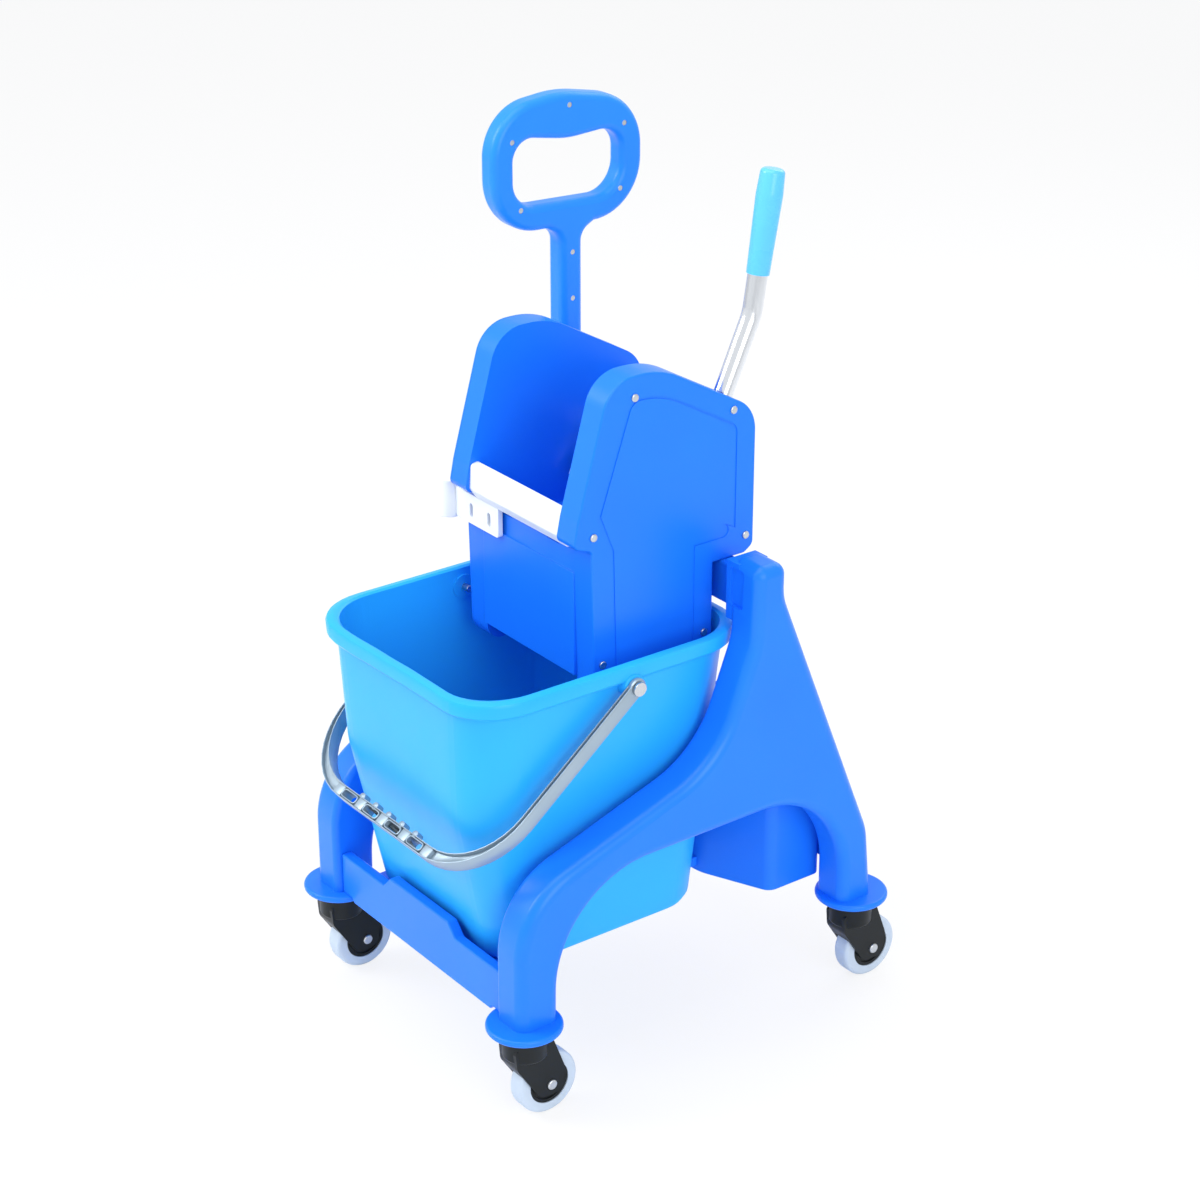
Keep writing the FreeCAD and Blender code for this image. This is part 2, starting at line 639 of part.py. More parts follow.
def cheek_outline(inset):
    """(y, z) outline of a wringer cheek, moved inwards by inset."""
    i = inset
    return [
        (CHEEK_FRONT + 4 + i, CHEEK_FOOT + i, 20 - i),
        (CHEEK_FRONT + i, LIP_Z + 3 - i * 0.2, 6 - i * 0.5),
        (NOSE_Y + i * 1.2, LIP_Z + 11 + i, 8 - i),
        (NOSE_Y + 6 + i, LIP_Z + 40, 30 - i),
        (NOSE_Y + 47 + i, CHEEK_TOP - i, 42 - i),
        (0, CHEEK_TOP - i, 100),
        (CHEEK_REAR - i, CHEEK_TOP - 72 - i * 0.5, 42 - i),
        (CHEEK_REAR - i, BEAM_Z + 8 + i, 10 - i),
        (CHEEK_REAR - 12, BEAM_Z + SEAT + i, 8),
        (CHEEK_BACK - i, BEAM_Z + SEAT + i, 0),
        (CHEEK_BACK - i, CHEEK_FOOT + i, 20 - i),
    ]


def cheek(side):
    """Hollow cheek moulding; the right one is slotted for the lever's swing."""
    cover_face = CHEEK_OUT - COVER_T
    body = plate_x(cheek_outline(0), CHEEK_IN, cover_face)
    body = body.cut(plate_x(cheek_outline(CHEEK_RIM), CHEEK_IN + CHEEK_PLATE, cover_face + 1))
    for y, z, depth in cheek_bolt_places():
        boss = rod_x(CHEEK_IN + CHEEK_PLATE, cover_face, y, z, 7)
        body = body.fuse(boss.common(plate_x(cheek_outline(0), CHEEK_IN, cover_face)))
        body = body.cut(rod_x(cover_face - depth, cover_face + 1, y, z, BOLT_R))
    body = body.cut(rod_x(CHEEK_IN - 1, CHEEK_IN + CHEEK_PLATE + 1, SHAFT_Y, SHAFT_Z, BUSH_R))
    if side > 0:
        body = body.cut(lever_sweep(CHEEK_IN + CHEEK_PLATE, cover_face + 1))
        return body.removeSplitter()
    return mirrored(body.removeSplitter())


def lever_sweep(x0, x1):
    """Fan that the lever passes through, from rest to full squeeze."""
    margin = math.radians(12)
    first = LEVER_LEAN - margin
    last = LEVER_LEAN + SQUEEZE + margin
    points = [(SHAFT_Y, SHAFT_Z - 20, 0)]
    for k in range(4):
        angle = first + (last - first) * k / 3
        points.append((SHAFT_Y + 190 * math.sin(angle), SHAFT_Z + 190 * math.cos(angle), 0))
    return plate_x(points, x0, x1)


def cheek_bolt_places():
    """(y, z, depth past the cover) of the cover screws, short where the lever sweeps."""
    deep = 12.0
    return [
        (-35, CHEEK_TOP - 24, deep), (CHEEK_REAR - 32, CHEEK_TOP - 67, SIDE_GAP / 2),
        (NOSE_Y + 25, LIP_Z + 19, deep), (CHEEK_REAR - 12, BEAM_Z + 22, deep),
        (CHEEK_FRONT + 14, CHEEK_FOOT + 45, deep), (CHEEK_BACK - 12, CHEEK_FOOT + 45, deep),
    ]


def cheek_cover(side):
    """Cover plate screwed on the outside of a cheek."""
    cover = plate_x(cheek_outline(0), CHEEK_OUT - COVER_T, CHEEK_OUT)
    cover = cover.makeFillet(2.5, edges_at(cover, "X", CHEEK_OUT))
    groove = plate_x(cheek_outline(26), CHEEK_OUT - 1, CHEEK_OUT + 1)
    cover = cover.cut(groove.cut(plate_x(cheek_outline(29), CHEEK_OUT - 1, CHEEK_OUT + 1)))
    for y, z, _ in cheek_bolt_places():
        cover = cover.cut(rod_x(CHEEK_OUT - COVER_T - 1, CHEEK_OUT + 1, y, z, BOLT_R))
    return cover if side > 0 else mirrored(cover)


def cover_bolts():
    """Pan-head screws of both covers."""
    bolts = []
    for y, z, depth in cheek_bolt_places():
        shank = rod_x(CHEEK_OUT - COVER_T - depth, CHEEK_OUT, y, z, BOLT_R)
        head = rod_x(CHEEK_OUT, CHEEK_OUT + 2.2, y, z, 4.5)
        bolt = shank.fuse(head.makeFillet(1.2, edges_at(head, "X", CHEEK_OUT + 2.2))).removeSplitter()
        bolts += [bolt, mirrored(bolt)]
    return bolts


def wringer_front_wall():
    """Fixed front plate between the cheeks, stepped back above its seam."""
    seam = LIP_Z - 32
    outline = [
        (CHEEK_FRONT, CHEEK_FOOT + 24, 0), (CHEEK_FRONT, seam, 0), (CHEEK_FRONT + 2.5, seam, 0),
        (CHEEK_FRONT + 2.5, LIP_Z, 0), (CHEEK_FRONT + WALL_T + 2, LIP_Z, 0),
        (CHEEK_FRONT + WALL_T + 2, CHEEK_FOOT + 24, 0),
    ]
    wall = plate_x(outline, -CHEEK_IN, CHEEK_IN)
    for x in (-44, 44):
        notch = box(x - 11, x + 11, CHEEK_FRONT - 1, CHEEK_FRONT + 5, LIP_Z - 9, LIP_Z + 1)
        wall = wall.cut(notch)
    return wall


def sloped_plate(y_at_floor, thickness, z0, z1, half):
    """Plate leaning back by the jaw's slope, between two heights."""
    def lean(z):
        return y_at_floor + JAW_SLOPE * (z - FLOOR_Z - FLOOR_T)
    return plate_x([
        (lean(z0), z0, 0), (lean(z0) + thickness, z0, 0),
        (lean(z1) + thickness, z1, 0), (lean(z1), z1, 0),
    ], -half, half)


def wringer_floor():
    """Perforated drain plate between the cheeks."""
    y0 = CHEEK_FRONT + WALL_T + 2
    y1 = JAW_FOOT_Y + JAW_T + BACK_GAP + 12
    plate = box(-CHEEK_IN, CHEEK_IN, y0, y1, FLOOR_Z, FLOOR_Z + FLOOR_T)
    columns = 7
    rows = 4
    pitch_x = 2 * (CHEEK_IN - 12) / (columns - 1)
    pitch_y = (y1 - y0 - 22) / (rows - 1)
    for i in range(columns):
        for j in range(rows):
            x = -CHEEK_IN + 12 + i * pitch_x
            y = y0 + 11 + j * pitch_y
            plate = plate.cut(post(x, y, FLOOR_Z - 1, FLOOR_Z + FLOOR_T + 1, 4))
    return plate


def wringer_back_wall():
    """Fixed back plate behind the jaw, with tabs to the cheeks at its top."""
    base = JAW_FOOT_Y + JAW_T + BACK_GAP
    top = SHAFT_Z + 52
    half = CHEEK_IN - 26
    wall = sloped_plate(base, BACK_T, FLOOR_Z + FLOOR_T, top, half)
    tab = sloped_plate(base, BACK_T, top - 22, top, CHEEK_IN)
    return wall.fuse(tab).removeSplitter()


def jaw():
    """Moving press plate with a carrier arm at each end."""
    plate = sloped_plate(JAW_FOOT_Y, JAW_T, FLOOR_Z + FLOOR_T + 2, ARM_Z1, JAW_HALF)
    columns = 5
    rows = 4
    for i in range(columns):
        for j in range(rows):
            x = 0.32 * JAW_HALF * (i - (columns - 1) / 2)
            z = FLOOR_Z + 24 + 19 * j
            y = JAW_FOOT_Y + JAW_SLOPE * (z - FLOOR_Z - FLOOR_T)
            plate = plate.cut(Part.makeCylinder(3.5, 40, V(x, y - 15, z), V(0, 1, 0)))
    front = JAW_FOOT_Y + JAW_SLOPE * (ARM_Z1 - FLOOR_Z - FLOOR_T)
    arm = box(ARM_X0, CHEEK_IN - 2, front - 6, RACK_REAR, ARM_Z1 - ARM_T, ARM_Z1)
    plate = plate.fuse(arm).fuse(mirrored(arm))
    return plate.removeSplitter()


def jaw_rack(side):
    """Toothed rack on a carrier arm."""
    pitch = math.pi * GEAR_MODULE
    root = RACK_Z - GEAR_ROOT
    tip = RACK_Z + GEAR_TIP
    bar = box(RACK_X0, RACK_X1, SHAFT_Y - 18, RACK_REAR, ARM_Z1, root)
    first = math.ceil(-18 / pitch - 0.5)
    last = math.floor((RACK_REAR - SHAFT_Y) / pitch - 0.5)
    lean = math.tan(PRESSURE)
    for k in range(first, last):
        middle = SHAFT_Y + (k + 0.5) * pitch
        wide = pitch / 4 - TOOTH_SLACK + lean * GEAR_ROOT
        slim = pitch / 4 - TOOTH_SLACK - lean * GEAR_TIP
        tooth = plate_x([(middle - wide, root, 0), (middle + wide, root, 0),
                         (middle + slim, tip, 0), (middle - slim, tip, 0)], RACK_X0, RACK_X1)
        bar = bar.fuse(tooth)
    bar = bar.removeSplitter()
    return bar if side > 0 else mirrored(bar)


def guide_rail(side):
    """Rail on a cheek that carries a jaw arm."""
    rail = box(JAW_HALF + 2, CHEEK_IN, CHEEK_FRONT + 30, CHEEK_REAR - 5,
               ARM_Z1 - ARM_T - SEAT - RAIL_H, ARM_Z1 - ARM_T - SEAT)
    return rail if side > 0 else mirrored(rail)


def gear_tooth(angle, x0, x1):
    """One involute tooth pointing at an angle from straight down."""
    base = PITCH_R * math.cos(PRESSURE)
    tip = PITCH_R + GEAR_TIP
    root = PITCH_R - GEAR_ROOT
    involute_20 = math.tan(PRESSURE) - PRESSURE
    half_pitch_angle = math.pi / (2 * GEAR_TEETH) - 0.15 / PITCH_R
    flank = []
    for k in range(6):
        radius = base + (tip - base) * k / 5
        pressure = math.acos(base / radius)
        turn = half_pitch_angle + involute_20 - (math.tan(pressure) - pressure)
        flank.append((radius, turn))
    flank.insert(0, (root - 1, flank[0][1]))
    polar = [(r, -t) for r, t in flank] + [(r, t) for r, t in reversed(flank)]
    points = [(SHAFT_Y + r * math.sin(angle + t), SHAFT_Z - r * math.cos(angle + t), 0) for r, t in polar]
    return plate_x(points, x0, x1)


def sector(side):
    """White toothed sector keyed to the shaft."""
    x0, x1 = RACK_X0, RACK_X1
    pitch = 2 * math.pi / GEAR_TEETH
    first, last = -3, 5
    root = PITCH_R - GEAR_ROOT
    hub = rod_x(x0 - 3, x1 + 3, SHAFT_Y, SHAFT_Z, 15)
    a0 = (first - 0.4) * pitch
    a1 = (last + 0.4) * pitch
    wedge = [(SHAFT_Y, SHAFT_Z, 0)]
    steps = 4
    for k in range(steps + 1):
        angle = a0 + (a1 - a0) * k / steps
        wedge.append((SHAFT_Y + 90 * math.sin(angle), SHAFT_Z - 90 * math.cos(angle), 0))
    fan = plate_x(wedge, x0, x1)
    disc = rod_x(x0, x1, SHAFT_Y, SHAFT_Z, root).common(fan)
    window = rod_x(x0 - 1, x1 + 1, SHAFT_Y, SHAFT_Z, root - 9).cut(
        rod_x(x0 - 1, x1 + 1, SHAFT_Y, SHAFT_Z, 22))
    slot_points = [(SHAFT_Y, SHAFT_Z, 0)]
    for angle in (a0 + 0.3, (a0 + a1) / 2, a1 - 0.3):
        slot_points.append((SHAFT_Y + 90 * math.sin(angle), SHAFT_Z - 90 * math.cos(angle), 0))
    disc = disc.cut(window.common(plate_x(slot_points, x0 - 1, x1 + 1)))
    body = hub.fuse(disc)
    for k in range(first, last + 1):
        body = body.fuse(gear_tooth(k * pitch, x0, x1))
    body = body.cut(rod_x(x0 - 10, x1 + 10, SHAFT_Y, SHAFT_Z, SHAFT_D / 2)).removeSplitter()
    return body if side > 0 else mirrored(body)


def shaft():
    """Cross shaft through both cheeks."""
    return rod_x(-CHEEK_IN - CHEEK_PLATE - 6, LEVER_X + LEVER_D / 2, SHAFT_Y, SHAFT_Z, SHAFT_D / 2)


def shaft_bushes():
    """Flanged bearing bushes in the cheeks."""
    bushes = []
    for s in (-1, 1):
        inner = CHEEK_IN - 5.5
        outer = CHEEK_IN + CHEEK_PLATE
        barrel = rod_x(CHEEK_IN, outer, SHAFT_Y, SHAFT_Z, BUSH_R)
        flange = rod_x(inner, CHEEK_IN, SHAFT_Y, SHAFT_Z, BUSH_R + 3)
        bush = barrel.fuse(flange).cut(rod_x(inner - 1, outer + 1, SHAFT_Y, SHAFT_Z, SHAFT_D / 2 + RUN))
        bush = bush.removeSplitter()
        bushes.append(bush if s > 0 else mirrored(bush))
    return bushes


def along_lever(origin_y, origin_z, lean, distance):
    """Point at a distance up the lever's line."""
    return V(LEVER_X, origin_y + distance * math.sin(lean), origin_z + distance * math.cos(lean))


def bent_rod(radius, first, last):
    """Bar of one radius up the lever, round its bend and on to the grip."""
    turn = LEVER_LEAN - GRIP_LEAN
    run = BEND_R * math.tan(turn / 2)
    start = along_lever(SHAFT_Y, SHAFT_Z, LEVER_LEAN, first)
    low = along_lever(BEND_Y, BEND_Z, LEVER_LEAN, -run)
    high = along_lever(BEND_Y, BEND_Z, GRIP_LEAN, run)
    end = along_lever(BEND_Y, BEND_Z, GRIP_LEAN, last)
    up = (low - start).normalize()
    on = (end - high).normalize()
    centre = low + V(0, -math.cos(LEVER_LEAN), math.sin(LEVER_LEAN)) * BEND_R
    lower = Part.makeCylinder(radius, low.distanceToPoint(start), start, up)
    upper = Part.makeCylinder(radius, end.distanceToPoint(high), high, on)
    disc = Part.Face(Part.Wire(Part.makeCircle(radius, low, up)))
    bend = disc.revolve(centre, V(1, 0, 0), math.degrees(turn))
    return lower.fuse([bend, upper])


def lever_tube():
    """Bent tube from the shaft hub to the top of the grip's bore."""
    hub = rod_x(LEVER_X - LEVER_D / 2, LEVER_X + LEVER_D / 2, SHAFT_Y, SHAFT_Z, LEVER_HUB_R)
    tube = bent_rod(LEVER_D / 2, 10, TUBE_ABOVE + 30).fuse(hub)
    tube = tube.cut(bent_rod(LEVER_D / 2 - LEVER_WALL, LEVER_HUB_R + 2, TUBE_ABOVE + 31))
    return tube.cut(rod_x(LEVER_X - 30, LEVER_X + 30, SHAFT_Y, SHAFT_Z, SHAFT_D / 2))


def lever_grip():
    """Tapered hand grip with a domed end, bored for the tube."""
    base = along_lever(BEND_Y, BEND_Z, GRIP_LEAN, TUBE_ABOVE - 24)
    axis = (along_lever(BEND_Y, BEND_Z, GRIP_LEAN, 100) - V(LEVER_X, BEND_Y, BEND_Z)).normalize()
    slim = Part.makeCone(GRIP_D / 2 - 2, GRIP_D / 2, GRIP_L * 0.75, base, axis)
    full = Part.makeCone(GRIP_D / 2, GRIP_D / 2 - 1.5, GRIP_L * 0.25, base + axis * (GRIP_L * 0.75), axis)
    body = slim.fuse(full).removeSplitter()
    top = max(body.Edges, key=lambda e: e.BoundBox.Center.z if e.Curve.TypeId == "Part::GeomCircle" else 0)
    body = body.makeFillet(5, [top])
    bore = Part.makeCylinder(LEVER_D / 2, TUBE_ABOVE + 30 - (TUBE_ABOVE - 24), base, axis)
    return body.cut(bore)


def lip_plate():
    """White lip along the top of the front wall, with a slotted tab at its left."""
    lip = plate_x([
        (CHEEK_FRONT - 8, LIP_Z, 2), (NOSE_Y + 6, LIP_Z + 13, 6), (NOSE_Y + 8, LIP_Z + 41, 4),
        (CHEEK_FRONT - 4, LIP_Z + 43, 4), (CHEEK_FRONT + 8, LIP_Z + 6, 4), (CHEEK_FRONT + 8, LIP_Z, 0),
    ], -CHEEK_IN, CHEEK_IN)
    tab = prism([
        (TAB_END, LIP_Z - 36, 4), (-46, LIP_Z - 36, 4), (-46, LIP_Z + 2, 0), (TAB_END, LIP_Z + 2, 4),
    ], on_xz(CHEEK_FRONT - 6), V(0, 6, 0))
    cheek_room = box(-CHEEK_OUT - 20, -CHEEK_IN, CHEEK_FRONT - 6, CHEEK_FRONT + 20, LIP_Z - 1, LIP_Z + 60)
    tab = tab.cut(cheek_room)
    for x in (-98, -64):
        slot = prism(rounded_rect(x - 3, x + 3, LIP_Z - 28, LIP_Z - 12, 2.9),
                     on_xz(CHEEK_FRONT - 8), V(0, 10, 0))
        tab = tab.cut(slot)
    return lip.fuse(tab).removeSplitter()


def handle_clip():
    """White C clip for a mop handle, open to the outside."""
    ring = post(CLIP_X, CLIP_Y, CLIP_Z0, CLIP_Z1, CLIP_BORE_R + CLIP_T)
    ring = ring.cut(post(CLIP_X, CLIP_Y, CLIP_Z0 - 1, CLIP_Z1 + 1, CLIP_BORE_R))
    mouth = CLIP_MOUTH
    reach = 40
    opening = plate_z([
        (CLIP_X, CLIP_Y, 0),
        (CLIP_X - reach * math.cos(mouth), CLIP_Y + reach * math.sin(mouth), 0),
        (CLIP_X - reach * math.cos(mouth), CLIP_Y - reach * math.sin(mouth), 0),
    ], CLIP_Z0 - 1, CLIP_Z1 + 1)
    root = box(CLIP_X + CLIP_BORE_R + 1, TAB_END, CLIP_Y - 3, CLIP_Y + 3, LIP_Z - 34, LIP_Z)
    clip = ring.cut(opening).fuse(root)
    clip = clip.cut(post(CLIP_X, CLIP_Y, CLIP_Z0 - 1, CLIP_Z1 + 1, CLIP_BORE_R))
    return clip.cut(box(TAB_END, TAB_END + 20, CLIP_Y - 20, CLIP_Y + 20, CLIP_Z0, CLIP_Z1)).removeSplitter()


# ---------------------------------------------------------------- build
def build_chassis():
    """Write the fixed frame."""
    right = side_frame()
    export("side_frame_right", right)
    export("side_frame_left", mirrored(right))
    export("front_crossbar", front_crossbar())
    export("tower_crossbeam", tower_crossbeam())
    export("rear_crossbar", rear_crossbar())
    export("rear_pocket", rear_pocket())
    export("bucket_rear_rest", bucket_rear_rest())
    outer, inner = handle_shells()
    export("handle_shell_outer", outer)
    export("handle_shell_inner", inner)
    export("handle_screws", handle_screws())


def build_casters():
    """Write the four swivel casters."""
    for end, y in (("front", -PIVOT_Y), ("rear", PIVOT_Y)):
        for hand, x in (("left", -PIVOT_X), ("right", PIVOT_X)):
            tag = "%s_%s" % (end, hand)
            export("caster_flange_" + tag, caster_flange(x, y))
            export("caster_fork_" + tag, caster_fork(x, y))
            export("caster_axle_" + tag, caster_axle(x, y))
            export("caster_hub_" + tag, caster_hub(x, y))
            export("caster_tyre_" + tag, caster_tyre(x, y))


def build_bucket():
    """Write the bucket and its bail."""
    export("bucket", bucket())
    export("bail", bail())
    export("bail_studs", bail_studs())


def build_wringer():
    """Write the wringer and its lever train."""
    for hand, side in (("left", -1), ("right", 1)):
        export("cheek_" + hand, cheek(side))
        export("cheek_cover_" + hand, cheek_cover(side))
        export("jaw_rack_" + hand, jaw_rack(side))
        export("guide_rail_" + hand, guide_rail(side))
        export("sector_" + hand, sector(side))
    export("cover_bolts", cover_bolts())
    export("wringer_front_wall", wringer_front_wall())
    export("wringer_back_wall", wringer_back_wall())
    export("wringer_floor", wringer_floor())
    export("jaw", jaw())
    export("shaft", shaft())
    export("shaft_bushes", shaft_bushes())
    export("lever_tube", lever_tube())
    export("lever_grip", lever_grip())
    export("lip_plate", lip_plate())
    export("handle_clip", handle_clip())


os.makedirs("parts", exist_ok=True)
build_chassis()
build_casters()
build_bucket()
build_wringer()
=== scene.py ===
"""Looks of a bucket mopping trolley with a hanging lever wringer, built over its CAD frame.

Metres. +X is the right side, -Y the front (bucket end), +Z up, floor at Z = 0.
"""
import json
import logging
import math
from collections.abc import Callable, Sequence
from dataclasses import dataclass, field
from enum import Enum

import bmesh
import bpy
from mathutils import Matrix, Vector

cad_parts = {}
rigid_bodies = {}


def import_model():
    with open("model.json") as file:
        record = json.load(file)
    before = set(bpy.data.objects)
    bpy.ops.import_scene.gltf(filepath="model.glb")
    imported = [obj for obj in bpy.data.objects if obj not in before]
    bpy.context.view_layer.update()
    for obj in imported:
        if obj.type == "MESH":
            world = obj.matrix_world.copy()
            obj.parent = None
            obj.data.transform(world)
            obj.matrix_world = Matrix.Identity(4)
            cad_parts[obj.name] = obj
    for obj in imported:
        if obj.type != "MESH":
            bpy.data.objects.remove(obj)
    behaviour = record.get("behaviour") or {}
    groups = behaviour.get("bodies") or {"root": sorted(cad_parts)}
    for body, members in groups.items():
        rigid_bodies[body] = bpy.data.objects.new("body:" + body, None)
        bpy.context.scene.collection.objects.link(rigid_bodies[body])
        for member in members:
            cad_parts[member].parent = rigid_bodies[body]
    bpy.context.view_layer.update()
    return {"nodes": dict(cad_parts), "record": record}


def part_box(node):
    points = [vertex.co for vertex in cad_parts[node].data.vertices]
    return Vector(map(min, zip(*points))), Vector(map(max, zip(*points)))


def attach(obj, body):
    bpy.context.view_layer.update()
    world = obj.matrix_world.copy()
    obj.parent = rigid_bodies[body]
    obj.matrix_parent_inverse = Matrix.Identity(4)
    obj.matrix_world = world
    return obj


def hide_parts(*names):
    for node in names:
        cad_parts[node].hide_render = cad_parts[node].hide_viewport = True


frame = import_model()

# Points nearer than MERGE are one point; a place within SAME_SPOT is that point (metres).
MERGE = 0.000005
SAME_SPOT = 0.00001
# Least cosine between a direction and an axis for the two to count as aligned.
ALIGNED = 0.99
# Edges sharper than these stay crisp on rounded and on plain copies (degrees).
ROUNDED_CRISP = 38
PLAIN_CRISP = 24
LOG = logging.getLogger("trolley")

Colour = tuple[float, float, float]


class Hand(Enum):
    """Side of the trolley, as the sign of its X."""

    LEFT = -1
    RIGHT = 1

    @property
    def word(self) -> str:
        """Name used in node and piece names."""
        return self.name.lower()


class End(Enum):
    """End of the trolley."""

    FRONT = "front"
    REAR = "rear"


class Grain(Enum):
    """Kind of surface grain that a finish carries."""

    MOULDED = "moulded_grain"
    DRAWN = "drawn_grain"


def tint(code: str) -> Colour:
    """Linear colour of a six-digit screen colour.

    Args:
        code: The colour as rrggbb.

    Returns:
        Red, green and blue in scene-linear values.
    """
    parts = [int(code[i:i + 2], 16) / 255 for i in (0, 2, 4)]
    return tuple(p / 12.92 if p <= 0.04045 else ((p + 0.055) / 1.055) ** 2.4 for p in parts)


# ---------------------------------------------------------------- surface groups
def new_group(name: str, inputs: Sequence[tuple[str, str, object]],
              outputs: Sequence[tuple[str, str]]) -> tuple[bpy.types.NodeTree, object, object]:
    """Start a shader group with named sockets.

    Args:
        name: Name of the group.
        inputs: Socket name, type and default of each input.
        outputs: Socket name and type of each output.

    Returns:
        The group with its input and output nodes.
    """
    tree = bpy.data.node_groups.new(name, "ShaderNodeTree")
    for label, kind, value in inputs:
        socket = tree.interface.new_socket(label, in_out="INPUT", socket_type=kind)
        socket.default_value = value
    for label, kind in outputs:
        tree.interface.new_socket(label, in_out="OUTPUT", socket_type=kind)
    return tree, tree.nodes.new("NodeGroupInput"), tree.nodes.new("NodeGroupOutput")


def add_node(tree: bpy.types.NodeTree, kind: str, **values: object) -> bpy.types.Node:
    """Add a node and set its properties.

    Args:
        tree: Node tree to add to.
        kind: Node type name.
        values: Properties of the node.

    Returns:
        The new node.
    """
    node = tree.nodes.new(kind)
    for key, value in values.items():
        setattr(node, key, value)
    return node


def spread(tree: bpy.types.NodeTree, source: object, low: object, high: object) -> object:
    """Map a 0-1 value between two values or sockets.

    Args:
        tree: Node tree to work in.
        source: Socket that gives the value.
        low: Value or socket at 0.
        high: Value or socket at 1.

    Returns:
        The socket with the mapped value.
    """
    node = add_node(tree, "ShaderNodeMapRange")
    tree.links.new(source, node.inputs["Value"])
    for label, value in (("To Min", low), ("To Max", high)):
        if isinstance(value, bpy.types.NodeSocket):
            tree.links.new(value, node.inputs[label])
        else:
            node.inputs[label].default_value = value
    return node.outputs["Result"]


def noise(tree: bpy.types.NodeTree, place: object, scale: float, detail: float) -> object:
    """Noise over the piece's own coordinates.

    Args:
        tree: Node tree to work in.
        place: Vector socket that the noise reads.
        scale: Waves per metre.
        detail: Octaves of finer noise.

    Returns:
        The noise value socket.
    """
    node = add_node(tree, "ShaderNodeTexNoise")
    node.inputs["Scale"].default_value = scale
    node.inputs["Detail"].default_value = detail
    tree.links.new(place, node.inputs["Vector"])
    return node.outputs["Fac"]


def grain_sockets() -> tuple[list, list]:
    """Inputs and outputs that every surface group has."""
    inputs = [
        ("Colour", "NodeSocketColor", (0.5, 0.5, 0.5, 1)),
        ("Drift Colour", "NodeSocketColor", (0.4, 0.4, 0.4, 1)),
        ("Roughness", "NodeSocketFloat", 0.4),
        ("Roughness Drift", "NodeSocketFloat", 0.1),
    ]
    outputs = [("Colour", "NodeSocketColor"), ("Roughness", "NodeSocketFloat"),
               ("Height", "NodeSocketFloat")]
    return inputs, outputs


def finish_grain(tree: bpy.types.NodeTree, given: object, out: object, shade: object,
                 wear: object, height: object) -> bpy.types.NodeTree:
    """Close a surface group: mix its colours, spread its roughness and put out its height.

    Args:
        tree: Group being built.
        given: Its input node.
        out: Its output node.
        shade: Value socket that drives the colour drift.
        wear: Value socket that drives the roughness drift.
        height: Value socket that gives the relief.

    Returns:
        The finished group.
    """
    mix = add_node(tree, "ShaderNodeMix", data_type="RGBA")
    tree.links.new(shade, mix.inputs["Factor"])
    tree.links.new(given.outputs["Colour"], mix.inputs["A"])
    tree.links.new(given.outputs["Drift Colour"], mix.inputs["B"])
    tree.links.new(mix.outputs["Result"], out.inputs["Colour"])
    top = add_node(tree, "ShaderNodeMath", operation="ADD")
    tree.links.new(given.outputs["Roughness"], top.inputs[0])
    tree.links.new(given.outputs["Roughness Drift"], top.inputs[1])
    tree.links.new(spread(tree, wear, given.outputs["Roughness"], top.outputs[0]),
                   out.inputs["Roughness"])
    tree.links.new(height, out.inputs["Height"])
    return tree


def moulded_grain() -> bpy.types.NodeTree:
    """Group for injection-moulded plastic: slow tint drift, scuffs and fine peel."""
    inputs, outputs = grain_sockets()
    tree, given, out = new_group(Grain.MOULDED.value, inputs, outputs)
    place = add_node(tree, "ShaderNodeTexCoord").outputs["Object"]
    return finish_grain(tree, given, out, noise(tree, place, 9.0, 3.0),
                        noise(tree, place, 45.0, 5.0), noise(tree, place, 260.0, 2.0))


def drawn_grain() -> bpy.types.NodeTree:
    """Group for drawn or turned metal: fine streaks along Z and a cloudy roughness."""
    inputs, outputs = grain_sockets()
    tree, given, out = new_group(Grain.DRAWN.value, inputs, outputs)
    place = add_node(tree, "ShaderNodeTexCoord").outputs["Object"]
    stretch = add_node(tree, "ShaderNodeMapping")
    stretch.inputs["Scale"].default_value = (1.0, 1.0, 0.04)
    tree.links.new(place, stretch.inputs["Vector"])
    streaks = noise(tree, stretch.outputs["Vector"], 900.0, 2.0)
    return finish_grain(tree, given, out, streaks, noise(tree, place, 30.0, 3.0), streaks)


